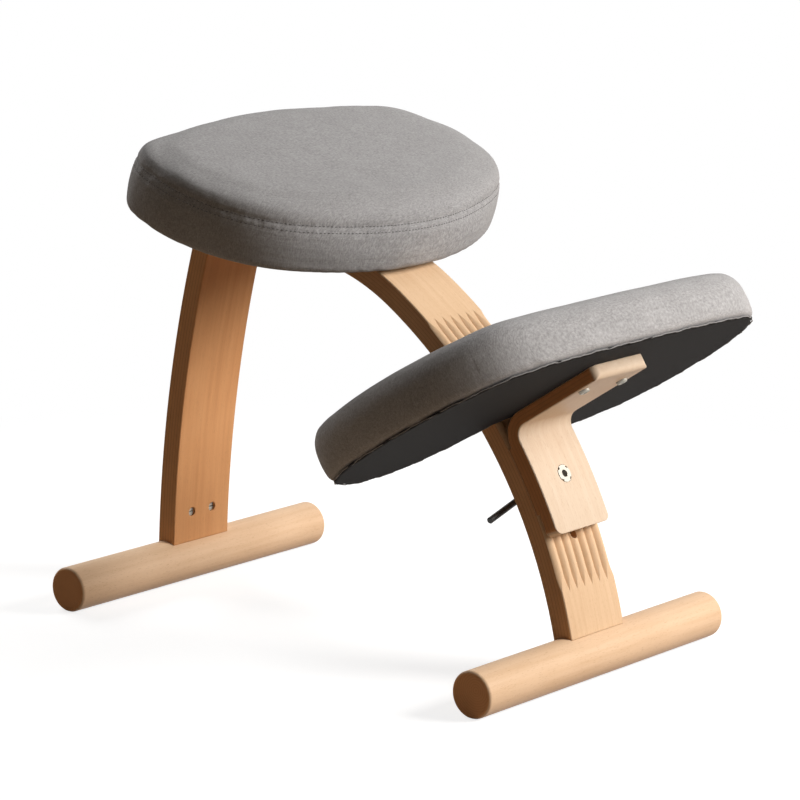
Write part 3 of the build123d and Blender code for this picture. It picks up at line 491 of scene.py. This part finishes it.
def melange(name, place, slope, tone, creases):
    """Fine grey weave of light and dark yarns in a cushion's own plane, with soft creases round its side."""
    g = Graph(name)
    x, y, z = g.split(g.coordinates())
    dy = g.math("SUBTRACT", y, place[0])
    dz = g.math("SUBTRACT", z, place[1])
    along = g.weighted((dy, cos(slope)), (dz, -sin(slope)))
    height = g.weighted((dy, sin(slope)), (dz, cos(slope)))
    position = g.join(x, along, height)
    warp = g.noise(g.scaled(position, WARP_SCALES), detail=1.0)
    weft = g.noise(g.scaled(position, WEFT_SCALES), detail=1.0)
    slub = g.noise(g.scaled(position, SLUB_SCALES), detail=2.0)
    cloud = g.noise(position, scale=CLOUD_SCALE, detail=3.0)
    mixed = g.weighted((warp, 0.37), (weft, 0.37), (slub, 0.16), (cloud, 0.10))
    yarns = [tuple(channel * tone for channel in colour) for colour in YARN_COLOURS]
    colour = g.ramp(mixed, *zip(YARN_STOPS, yarns))
    turns = 2 * pi / THREAD_PITCH
    ribs = g.math("MULTIPLY", g.math("SINE", g.math("MULTIPLY", x, turns)),
                  g.math("SINE", g.weighted((along, turns), (height, turns))))
    relief = g.weighted((ribs, 0.4), (mixed, 1.2))
    folds = g.noise(g.scaled(position, CREASE_SCALES), detail=3.0)
    normal = g.bump(relief, WEAVE_RELIEF, 0.45, g.bump(folds, creases, 0.5))
    return g.finish(colour, 0.92, normal, Sheen_Weight=0.06, Sheen_Roughness=0.6, Specular_IOR_Level=0.03)


def non_woven(name):
    """Black spun-bonded lining with its embossed points and loose fibres."""
    g = Graph(name)
    position = g.coordinates()
    dots = g.step(g.cells(position, 520.0), 0.12, 0.42)
    fibre = g.noise(g.scaled(position, (900.0, 500.0, 700.0)), detail=3.0)
    colour = g.mix(fibre, (0.012, 0.011, 0.011), (0.034, 0.032, 0.031))
    normal = g.bump(g.math("ADD", dots, g.math("MULTIPLY", fibre, 0.5)), 0.0003, 0.6)
    roughness = g.math("ADD", 0.68, g.math("MULTIPLY", fibre, 0.25))
    return g.finish(colour, roughness, normal, Specular_IOR_Level=0.06)


def zinc(name):
    """Dull zinc with fine turning marks and a slightly cloudy finish."""
    g = Graph(name)
    cloud = g.noise(g.coordinates(), scale=220.0, detail=3.0)
    marks = g.noise(g.scaled(g.coordinates(), (3000.0, 3000.0, 700.0)), detail=2.0)
    colour = g.mix(cloud, (0.300, 0.280, 0.240), (0.440, 0.415, 0.365))
    roughness = g.math("ADD", 0.55, g.math("MULTIPLY", cloud, 0.2))
    return g.finish(colour, roughness, g.bump(marks, 0.00004, 0.5), Metallic=1.0)


def powder_coat(name):
    """Black powder coat with its orange-peel texture."""
    g = Graph(name)
    peel = g.noise(g.coordinates(), scale=1400.0, detail=2.0)
    wear = g.noise(g.coordinates(), scale=90.0, detail=4.0)
    colour = g.mix(wear, (0.010, 0.010, 0.010), (0.026, 0.025, 0.024))
    return g.finish(colour, g.math("ADD", 0.38, g.math("MULTIPLY", wear, 0.2)), g.bump(peel, 0.0001, 0.6))


def plywood(name):
    """Bare plywood of the boards inside the cushions."""
    g = Graph(name)
    position = g.coordinates()
    streaks = g.noise(g.scaled(position, (8.0, 160.0, 160.0)), detail=4.0)
    colour = g.ramp(streaks, (0.3, (0.420, 0.270, 0.140)), (0.7, (0.620, 0.440, 0.260)))
    return g.finish(colour, 0.7, g.bump(streaks, 0.0002, 0.5))


def foam_cells(name):
    """Open-cell foam."""
    g = Graph(name)
    cells = g.cells(g.coordinates(), 700.0)
    colour = g.mix(cells, (0.520, 0.470, 0.330), (0.700, 0.650, 0.500))
    return g.finish(colour, 0.95, g.bump(cells, 0.0006, 0.8))


def thread_material(name):
    """Twisted sewing thread, a little darker than the cover."""
    g = Graph(name)
    twist = g.noise(g.scaled(g.coordinates(), (2600.0, 2600.0, 2600.0)), detail=1.0)
    colour = g.mix(twist, (0.050, 0.049, 0.049), (0.130, 0.127, 0.127))
    return g.finish(colour, 0.8, g.bump(twist, 0.0001, 0.6))


def local_frame(place, slope):
    """Matrix from a cushion's own axes, Z up from its underside, to the row frame."""
    return Matrix.Translation((0, *place)) @ Matrix.Rotation(-slope, 4, "X")


def mesh_object(name, mesh):
    piece = bpy.data.objects.new(name, mesh)
    bpy.context.scene.collection.objects.link(piece)
    return piece


def joined_copy(name, sources, matrix):
    """One mesh of copies of CAD nodes, in a cushion's own axes."""
    joined = bmesh.new()
    for source in sources:
        joined.from_mesh(nodes[source].data)
    joined.transform(matrix.inverted())
    mesh = bpy.data.meshes.new(name)
    joined.to_mesh(mesh)
    joined.free()
    return mesh


def evaluated_mesh(piece):
    depsgraph = bpy.context.evaluated_depsgraph_get()
    return bpy.data.meshes.new_from_object(piece.evaluated_get(depsgraph))


def largest_island(mesh):
    """Removes every separate piece of a mesh but the one with most vertices."""
    work = bmesh.new()
    work.from_mesh(mesh)
    left = set(work.verts)
    islands = []
    while left:
        stack = [left.pop()]
        island = set(stack)
        while stack:
            for edge in stack.pop().link_edges:
                for vert in edge.verts:
                    if vert in left:
                        left.remove(vert)
                        island.add(vert)
                        stack.append(vert)
        islands.append(island)
    keep = max(islands, key=len)
    bmesh.ops.delete(work, geom=[v for v in work.verts if v not in keep], context="VERTS")
    work.to_mesh(mesh)
    work.free()


def remeshed(piece, voxel):
    modifier = piece.modifiers.new("Voxels", "REMESH")
    modifier.mode = "VOXEL"
    modifier.voxel_size = voxel
    mesh = evaluated_mesh(piece)
    piece.modifiers.remove(modifier)
    largest_island(mesh)
    piece.data = mesh


def smoothed(mesh, rounds):
    work = bmesh.new()
    work.from_mesh(mesh)
    for _ in range(rounds):
        bmesh.ops.smooth_vert(work, verts=work.verts, factor=0.5,
                              use_axis_x=True, use_axis_y=True, use_axis_z=True)
    work.to_mesh(mesh)
    work.free()


def inflated(piece, cap):
    """Swells a closed cushion by cloth pressure, with its underside held, and caps how far a point moves."""
    rest = [v.co.copy() for v in piece.data.vertices]
    held = piece.vertex_groups.new(name="underside")
    held.add([v.index for v in piece.data.vertices if v.co.z < BOTTOM_HELD], 1.0, "REPLACE")
    modifier = piece.modifiers.new("Cloth", "CLOTH")
    settings = modifier.settings
    for setting, value in CLOTH.items():
        setattr(settings, setting, value)
    settings.vertex_group_mass = held.name
    settings.effector_weights.gravity = 0.0
    modifier.collision_settings.use_collision = False
    scene = bpy.context.scene
    for number in range(1, CLOTH_FRAMES + 1):
        scene.frame_set(number)
    swollen = evaluated_mesh(piece)
    piece.modifiers.remove(modifier)
    scene.frame_set(1)
    moves = []
    for start, end in zip(rest, swollen.vertices):
        move = end.co - start
        moves.append(move * min(1.0, cap / max(move.length, TINY)))
    bpy.data.meshes.remove(swollen)
    for vert, move in zip(piece.data.vertices, evened(piece.data, moves, EVENING_ROUNDS)):
        vert.co += move


def evened(mesh, moves, rounds):
    """Averages each vertex's move with its neighbours', so that only broad swelling is left."""
    pairs = numpy.array([edge.vertices[:] for edge in mesh.edges])
    ends = numpy.concatenate((pairs, pairs[:, ::-1]))
    counts = 1 + numpy.bincount(ends[:, 0], minlength=len(moves))
    moves = numpy.array(moves)
    for _ in range(rounds):
        totals = moves.copy()
        numpy.add.at(totals, ends[:, 0], moves[ends[:, 1]])
        moves = totals / counts[:, None]
    return [Vector(move) for move in moves]


def crowned(mesh, rise, floor):
    """Lifts the top of a cushion into a soft dome over its middle."""
    half_width = max(v.co.x for v in mesh.vertices)
    front, rear = min(v.co.y for v in mesh.vertices), max(v.co.y for v in mesh.vertices)
    for vert in mesh.vertices:
        if vert.co.z > floor:
            across = vert.co.x / half_width
            along = (2 * vert.co.y - front - rear) / (rear - front)
            vert.co.z += rise * max(0.0, 1 - across * across - along * along)


def subdivided(piece):
    modifier = piece.modifiers.new("Smooth", "SUBSURF")
    modifier.levels = 1
    modifier.render_levels = 1
    mesh = evaluated_mesh(piece)
    piece.modifiers.remove(modifier)
    piece.data = mesh


def section(mesh, height):
    """Longest closed line where a mesh crosses a level, as points in order."""
    work = bmesh.new()
    work.from_mesh(mesh)
    geometry = work.verts[:] + work.edges[:] + work.faces[:]
    level = {"plane_co": (0, 0, height), "plane_no": (0, 0, 1)}
    cut = bmesh.ops.bisect_plane(work, geom=geometry, **level)["geom_cut"]
    edges = [e for e in cut if isinstance(e, bmesh.types.BMEdge)]
    left = set(edges)
    loops = []
    for edge in edges:
        if edge in left:
            loop = [edge.verts[0]]
            while edge:
                left.remove(edge)
                loop.append(edge.other_vert(loop[-1]))
                edge = next((link for link in loop[-1].link_edges if link in left), None)
            loops.append([v.co.copy() for v in loop])
    work.free()
    return max(loops, key=len)


def resampled(points, spacing):
    """Points at an even spacing round a closed line."""
    closed = points + [points[0]]
    lengths = [0.0]
    for a, b in zip(closed, closed[1:]):
        lengths.append(lengths[-1] + (b - a).length)
    count = round(lengths[-1] / spacing)
    result = []
    k = 0
    for i in range(count):
        target = lengths[-1] * i / count
        while lengths[k + 1] < target:
            k += 1
        share = (target - lengths[k]) / max(lengths[k + 1] - lengths[k], TINY)
        result.append(closed[k].lerp(closed[k + 1], share))
    return result


def outward_normals(points):
    """Flat outward normals of a closed line of points seen from above."""
    count = len(points)
    area = sum(a.x * b.y - b.x * a.y for a, b in zip(points, points[1:] + points[:1]))
    sense = 1 if area > 0 else -1
    normals = []
    for k in range(count):
        along = points[(k + 1) % count] - points[k - 1]
        normals.append((Vector((along.y, -along.x, 0)) * sense).normalized())
    return normals


def bridged(work, first, second):
    """Faces between two closed rings of as many vertices."""
    count = len(first)
    for k in range(count):
        work.faces.new((first[k], first[(k + 1) % count], second[(k + 1) % count], second[k]))


def closed_piece(name, work):
    """Object of a closed mesh, with its faces turned outwards."""
    bmesh.ops.recalc_face_normals(work, faces=work.faces)
    mesh = bpy.data.meshes.new(name)
    work.to_mesh(mesh)
    work.free()
    return mesh_object(name, mesh)


def tube_strand(work, points, radius, sides=5):
    """Adds a thin closed tube along a few points."""
    rings = []
    for k, point in enumerate(points):
        along = (points[min(k + 1, len(points) - 1)] - points[max(k - 1, 0)]).normalized()
        side = along.orthogonal().normalized()
        up = along.cross(side)
        taper = STITCH_TAPER if k in (0, len(points) - 1) else 1.0
        turn = [2 * pi * i / sides for i in range(sides)]
        rings.append([work.verts.new(point + (side * cos(t) + up * sin(t)) * radius * taper) for t in turn])
    for first, second in zip(rings, rings[1:]):
        bridged(work, first, second)
    work.faces.new(rings[0][::-1])
    work.faces.new(rings[-1])


def surface_line(mesh, points):
    """Points dropped onto the nearest place of a mesh."""
    work = bmesh.new()
    work.from_mesh(mesh)
    tree = BVHTree.FromBMesh(work)
    found = [tree.find_nearest(point) for point in points]
    work.free()
    return [(place, normal) for place, normal, _, _ in found]


def stitch_row(name, mesh, height, lift):
    """A row of stitches round a cushion at a level."""
    pitch = STITCH_LENGTH + STITCH_GAP
    marks = surface_line(mesh, resampled(section(mesh, height), pitch / 3))
    work = bmesh.new()
    for k in range(0, len(marks) - 3, 3):
        a, b = marks[k], marks[k + 2]
        start, end = a[0] + a[1] * -lift, b[0] + b[1] * -lift
        middle = marks[k + 1][0] + marks[k + 1][1] * lift
        tube_strand(work, [start, start.lerp(middle, 0.5) + a[1] * lift * 0.5, middle,
                           middle.lerp(end, 0.5) + b[1] * lift * 0.5, end], STITCH_RADIUS)
    stitch_mesh = bpy.data.meshes.new(name)
    work.to_mesh(stitch_mesh)
    work.free()
    return mesh_object(name, stitch_mesh)


def smooth_shaded(mesh):
    for polygon in mesh.polygons:
        polygon.use_smooth = True


def placed_piece(piece, matrix, material, body):
    """Moves a piece from a cushion's own axes to the row frame and joins it to its CAD body."""
    piece.data.transform(matrix)
    smooth_shaded(piece.data)
    piece.data.materials.clear()
    piece.data.materials.append(material)
    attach(piece, body)


def ripple(place, wave):
    """Deterministic uneven wave along a line, between -1 and 1."""
    turns = place / wave
    return (sin(turns) + 0.6 * sin(turns / 0.43 + 1.3) + 0.4 * sin(turns / 0.19 + 2.1)) / 2


def squared_rim(mesh, height, rise):
    """Fills out the roll from a cushion's side to its top, as foam does in a tight cover."""
    mesh.update()
    lifts = []
    for vert in mesh.vertices:
        tilt = max(vert.normal.z, 0.0)
        above = min(max((vert.co.z - height) / RIM_FADE, 0.0), 1.0)
        lifts.append((0.0, 0.0, rise * above * 4 * tilt * tilt * (1 - tilt * tilt)))
    for vert, lift in zip(mesh.vertices, evened(mesh, lifts, EVENING_ROUNDS)):
        vert.co += lift


def drawn_in(mesh, height, depth, width):
    """Draws a cushion's side in along a seam at a level, with small puckers beside it."""
    mesh.update()
    for vert in mesh.vertices:
        off = (vert.co.z - height) / width
        if abs(off) < 3:
            pull = depth * exp(-off * off)
            around = atan2(vert.co.y, vert.co.x) * PUCKER_RADIUS
            pucker = PUCKER_DEPTH * ripple(around, PUCKER_WAVE) * exp(-((abs(off) - 1.0) ** 2))
            vert.co -= vert.normal * (pull + pucker)


def cushion(name, sources, place, slope, cap, smoothing):
    """Padded visual of a cushion in its own axes, made by cloth pressure from its CAD solids."""
    matrix = local_frame(place, slope)
    piece = mesh_object(name, joined_copy(name, sources, matrix))
    remeshed(piece, VOXEL)
    smoothed(piece.data, smoothing)
    inflated(piece, cap)
    subdivided(piece)
    return piece, matrix


def rounded_plan(mesh, height, reach, swell):
    """Rounds the corners of a cushion's outline over a reach along it, and swells it evenly."""
    outline = resampled(section(mesh, height), OUTLINE_SPACING)
    rounds = round((reach / OUTLINE_SPACING) ** 2)
    points = numpy.array([point[:2] for point in outline])
    eased = points
    for _ in range(rounds):
        eased = 0.5 * eased + 0.25 * (numpy.roll(eased, 1, axis=0) + numpy.roll(eased, -1, axis=0))
    tree = KDTree(len(outline))
    for k, point in enumerate(outline):
        tree.insert((point.x, point.y, 0.0), k)
    tree.balance()
    normals = outward_normals(outline)
    moves = [Vector((*move, 0.0)) + normal * swell for move, normal in zip(eased - points, normals)]
    for vert in mesh.vertices:
        _, k, distance = tree.find((vert.co.x, vert.co.y, 0.0))
        vert.co += moves[k] * max(0.0, 1 - distance / PLAN_REACH)


def drawn_back(mesh, spots, depth, reach, foot):
    """Draws a cushion's side back round spots of its outline, above its foot, to clear another piece."""
    pulls = []
    for vert in mesh.vertices:
        distance = min((vert.co.xy - Vector(spot)).length for spot in spots)
        rise = min(1.0, max(0.0, vert.co.z / foot - 1.0) / 2)
        pull = depth * rise * exp(-((distance / reach) ** 2))
        pulls.append(Vector((vert.normal.x, vert.normal.y, 0.0)) * pull)
    for vert, pull in zip(mesh.vertices, pulls):
        vert.co -= pull


def lining(name, cushion_mesh, inset):
    """Stapled lining: a thin sheet under a cushion with a rippled, puckered edge."""
    outline = resampled(section(cushion_mesh, EDGE_LEVEL), OUTLINE_SPACING)
    normals = outward_normals(outline)
    work = bmesh.new()
    sides = []
    for top in (False, True):
        rings = []
        for step_in, wave, sag in LINING_ROWS:
            ring = []
            for k, (point, normal) in enumerate(zip(outline, normals)):
                run = k * OUTLINE_SPACING
                spot = point + normal * (LINING_SWAY * wave * ripple(run, 0.011) - inset - step_in)
                curl = LINING_THICKNESS + LINING_CURL * wave * ripple(run, 0.007)
                level = curl if top else sag * (1 + ripple(run, 0.006))
                ring.append(work.verts.new((spot.x, spot.y, level)))
            rings.append(ring)
        for first, second in zip(rings, rings[1:]):
            bridged(work, first, second)
        work.faces.new(rings[-1])
        sides.append(rings)
    bridged(work, sides[0][0], sides[1][0])
    work.normal_update()
    bmesh.ops.triangulate(work, faces=[f for f in work.faces if len(f.verts) > 4])
    return closed_piece(name, work)


def hem(name, cushion_mesh, inset, radius, sides=8):
    """Folded edge of a cover: a thin uneven roll round the foot of a cushion."""
    outline = resampled(section(cushion_mesh, EDGE_LEVEL), OUTLINE_SPACING)
    up = Vector((0, 0, 1))
    work = bmesh.new()
    rings = []
    for k, (point, normal) in enumerate(zip(outline, outward_normals(outline))):
        run = k * OUTLINE_SPACING
        out = HEM_SWAY * ripple(run, 0.009) - inset
        level = radius + HEM_LIFT * ripple(run, 0.0061)
        middle = Vector((point.x, point.y, 0)) + normal * out + up * level
        turn = [2 * pi * i / sides for i in range(sides)]
        rings.append([work.verts.new(middle + (normal * cos(a) + up * sin(a)) * radius) for a in turn])
    for first, second in zip(rings, rings[1:] + rings[:1]):
        bridged(work, first, second)
    return closed_piece(name, work)


def dress(materials):
    """Gives each CAD node that stays in sight its material."""
    for node, material in materials.items():
        mesh = nodes[node].data
        mesh.materials.clear()
        mesh.materials.append(material)


steel = zinc("zinc_plate")
black = powder_coat("black_powder_coat")
sheet = non_woven("black_lining")
ply = plywood("plywood")
foam = foam_cells("foam")
thread = thread_material("grey_thread")
# Piths of the two dowels in the side view, off their middles
FRONT_PITH = (front_foot_box[0][1] + 0.018, 0.031)
REAR_PITH = (rear_foot_box[0][1] + 0.033, 0.014)
dress({
    "front_foot": dowel_beech("front_dowel_beech", FRONT_PITH),
    "rear_foot": dowel_beech("rear_dowel_beech", REAR_PITH),
    "front_leg": beech("front_leg_beech", front_leg_grain, FRONT_LEG_TONES, FRONT_LEG_SAWN),
    # The rear leg's darker, more saturated tones are painted shade from under the seat
    "rear_leg": beech("rear_leg_beech_painted_shade", rear_leg_grain, REAR_LEG_TONES_PAINTED_SHADE, REAR_LEG_SAWN),
    "knee_bracket": beech("bracket_beech", bracket_grain, BRACKET_TONES, BRACKET_SAWN),
    "seat_board": ply,
    "knee_board": ply,
    "seat_foam": foam,
    "knee_foam": foam,
    "clamp_hub": black,
    "clamp_lever": black,
})
dress({node: steel for node in (
    "front_foot_bolts", "rear_foot_bolts", "front_barrel_nuts", "rear_barrel_nuts",
    "seat_t_nuts", "knee_t_nuts", "seat_bolts", "knee_bolts",
    "bracket_t_nut", "clamp_bolt", "clamp_washer")})

# Seat
seat, seat_matrix = cushion("seat_cushion", ("seat_cover", "seat_foam", "seat_board"),
                            SEAT_PLACE, SEAT_SLOPE, SEAT_CAP, SEAT_SMOOTHING)
crowned(seat.data, SEAT_DOME, SEAT_SEAM_HEIGHT)
squared_rim(seat.data, SEAT_SEAM_HEIGHT, SEAT_RIM_RISE)
rounded_plan(seat.data, SEAT_MIDDLE, SEAT_EASE, SEAT_SWELL)
drawn_in(seat.data, SEAT_SEAM_HEIGHT, SEAT_SEAM_DEPTH, SEAM_WIDTH)
drawn_in(seat.data, SEAT_STITCH_HEIGHT, SEAT_STITCH_DEPTH, SEAM_WIDTH)
seat_seam = stitch_row("seat_seam", seat.data, SEAT_SEAM_HEIGHT, SEAM_LIFT)
seat_stitch = stitch_row("seat_topstitch", seat.data, SEAT_STITCH_HEIGHT, TOPSTITCH_LIFT)
seat_lining = lining("seat_lining_sheet", seat.data, SEAT_LINING_INSET)
seat_fabric = melange("seat_melange", SEAT_PLACE, SEAT_SLOPE, SEAT_TONE, SEAT_CREASES)
placed_piece(seat, seat_matrix, seat_fabric, "base")
placed_piece(seat_stitch, seat_matrix, thread, "base")
placed_piece(seat_seam, seat_matrix, thread, "base")
placed_piece(seat_lining, seat_matrix, sheet, "base")
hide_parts("seat_cover", "seat_foam")
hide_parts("seat_lining")

# Knee pad
pad, pad_matrix = cushion("knee_cushion", ("knee_cover", "knee_foam", "knee_board"),
                          PAD_PLACE, PAD_SLOPE, PAD_CAP, PAD_SMOOTHING)
rounded_plan(pad.data, PAD_MIDDLE, PAD_EASE, PAD_SWELL)
drawn_back(pad.data, NOTCH_SPOTS, NOTCH_RELIEF, NOTCH_REACH, NOTCH_FOOT)
pad_lining = lining("knee_lining_sheet", pad.data, PAD_LINING_INSET)
pad_hem = hem("knee_hem", pad.data, HEM_INSET, HEM_RADIUS)
knee_fabric = melange("knee_melange", PAD_PLACE, PAD_SLOPE, PAD_TONE, PAD_CREASES)
# Darker copy of the cover fabric for the hem: painted shade on its lit roll
hem_fabric_painted_shade = melange("hem_melange_painted_shade", PAD_PLACE, PAD_SLOPE, HEM_PAINTED_SHADE_TONE, 0.0)
placed_piece(pad, pad_matrix, knee_fabric, "knee_rest")
placed_piece(pad_hem, pad_matrix, hem_fabric_painted_shade, "knee_rest")
placed_piece(pad_lining, pad_matrix, sheet, "knee_rest")
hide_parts("knee_cover", "knee_foam")
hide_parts("knee_lining")

# Stage
CAMERA_PLACE = Vector((-2.9285, FEET_MIDDLE - 2.4636, 1.1172))
CAMERA_AZIMUTH = radians(-50.15)
CAMERA_ELEVATION = radians(12.76)
CAMERA_ROLL = radians(-0.83)
CAMERA_LENS = 163.52
CAMERA_SENSOR = 36.0
CAMERA_REACH = 50.0
WHITE = (1.0, 1.0, 1.0, 1.0)
FLOOR_SIZE = 30.0
FLOOR_COLOUR = (0.27, 0.195, 0.130, 1.0)
FLOOR_ROUGHNESS = 0.8
FLOOR_IN_SHADE = 0.78
FLOOR_LIT = 0.40
SHADOW_NEAR = 0.5
SHADOW_FAR = 1.1
AMBIENT_COLOUR = (1.0, 0.82, 0.66, 1.0)
AMBIENT_STRENGTH = 0.045
# Lights: name, place, aim, diameter, watts and colour
LIGHTS = (
    ("key", (1.8, -2.55, 1.85), (0.0, -0.1, 0.3), 1.8, 168.0, (1.0, 0.98, 0.955)),
    ("top", (0.3, -0.3, 3.0), (0.0, 0.1, 0.4), 2.0, 6.0, (1.0, 1.0, 1.0)),
    ("back", (0.6, 3.0, 2.2), (0.0, 0.1, 0.35), 2.0, 70.0, (1.0, 1.0, 1.0)),
)


def camera():
    """Camera at the photo's place, looking the photo's way."""
    data = bpy.data.cameras.new("camera")
    data.lens = CAMERA_LENS
    data.sensor_width = CAMERA_SENSOR
    data.clip_end = CAMERA_REACH
    a, e, r = CAMERA_AZIMUTH, CAMERA_ELEVATION, CAMERA_ROLL
    back = Vector((sin(a) * cos(e), -cos(a) * cos(e), sin(e)))
    right = Vector((cos(a), sin(a), 0.0))
    down = (-back).cross(right)
    turned_right = right * cos(r) + down * sin(r)
    turned_down = down * cos(r) - right * sin(r)
    rotation = Matrix((turned_right, -turned_down, back)).transposed()
    piece = bpy.data.objects.new("camera", data)
    piece.matrix_world = Matrix.Translation(CAMERA_PLACE) @ rotation.to_4x4()
    bpy.context.scene.collection.objects.link(piece)
    bpy.context.scene.camera = piece


def area_light(name, place, target, size, power, colour):
    """Round lamp at a place, aimed at a target."""
    data = bpy.data.lights.new(name, "AREA")
    data.shape = "DISK"
    data.size = size
    data.energy = power
    data.color = colour
    piece = bpy.data.objects.new(name, data)
    piece.location = place
    piece.rotation_euler = (Vector(target) - Vector(place)).to_track_quat("-Z", "Y").to_euler()
    bpy.context.scene.collection.objects.link(piece)


def seen_as(tree, seen_shader, true_shader):
    """One shader to the camera and in reflections, another to every other ray."""
    path = tree.nodes.new("ShaderNodeLightPath")
    seen = path.outputs["Is Camera Ray"]
    for ray in ("Is Glossy Ray", "Is Transmission Ray"):
        either = tree.nodes.new("ShaderNodeMath")
        either.operation = "MAXIMUM"
        tree.links.new(seen, either.inputs[0])
        tree.links.new(path.outputs[ray], either.inputs[1])
        seen = either.outputs[0]
    mix = tree.nodes.new("ShaderNodeMixShader")
    for socket, source in zip(mix.inputs, (seen, true_shader, seen_shader)):
        tree.links.new(source, socket)
    return mix.outputs[0]


def shaded_white(tree):
    """White floor that takes the chair's soft shadow close to it."""
    far = tree.nodes.new("ShaderNodeEmission")
    dim = tree.nodes.new("ShaderNodeEmission")
    for node, strength in ((far, 1.0), (dim, FLOOR_IN_SHADE)):
        node.inputs["Color"].default_value = WHITE
        node.inputs["Strength"].default_value = strength
    lit = tree.nodes.new("ShaderNodeBsdfDiffuse")
    lit.inputs["Color"].default_value = (FLOOR_LIT, FLOOR_LIT, FLOOR_LIT, 1.0)
    both = tree.nodes.new("ShaderNodeAddShader")
    tree.links.new(dim.outputs[0], both.inputs[0])
    tree.links.new(lit.outputs[0], both.inputs[1])
    place = tree.nodes.new("ShaderNodeTexCoord")
    distance = tree.nodes.new("ShaderNodeVectorMath")
    distance.operation = "LENGTH"
    tree.links.new(place.outputs["Object"], distance.inputs[0])
    away = tree.nodes.new("ShaderNodeMapRange")
    away.interpolation_type = "SMOOTHSTEP"
    away.inputs["From Min"].default_value = SHADOW_NEAR
    away.inputs["From Max"].default_value = SHADOW_FAR
    tree.links.new(distance.outputs["Value"], away.inputs["Value"])
    mix = tree.nodes.new("ShaderNodeMixShader")
    for socket, source in zip(mix.inputs, (away.outputs[0], both.outputs[0], far.outputs[0])):
        tree.links.new(source, socket)
    return mix.outputs[0]


def studio():
    """White floor and backdrop, and soft light from the camera's right, from above and from behind."""
    bpy.ops.mesh.primitive_plane_add(size=FLOOR_SIZE)
    floor = bpy.context.active_object
    floor.name = "floor"
    material = bpy.data.materials.new("floor_white")
    material.use_nodes = True
    tree = material.node_tree
    shader = tree.nodes["Principled BSDF"]
    shader.inputs["Base Color"].default_value = FLOOR_COLOUR
    shader.inputs["Roughness"].default_value = FLOOR_ROUGHNESS
    seen = seen_as(tree, shaded_white(tree), shader.outputs[0])
    tree.links.new(seen, tree.nodes["Material Output"].inputs["Surface"])
    floor.data.materials.append(material)
    world = bpy.data.worlds.new("studio")
    world.use_nodes = True
    tree = world.node_tree
    ambient = tree.nodes["Background"]
    ambient.inputs["Color"].default_value = AMBIENT_COLOUR
    ambient.inputs["Strength"].default_value = AMBIENT_STRENGTH
    white = tree.nodes.new("ShaderNodeBackground")
    white.inputs["Color"].default_value = WHITE
    seen = seen_as(tree, white.outputs[0], ambient.outputs[0])
    tree.links.new(seen, tree.nodes["World Output"].inputs["Surface"])
    bpy.context.scene.world = world
    for light in LIGHTS:
        area_light(*light)


camera()
studio()
bpy.context.scene.view_settings.view_transform = "Standard"
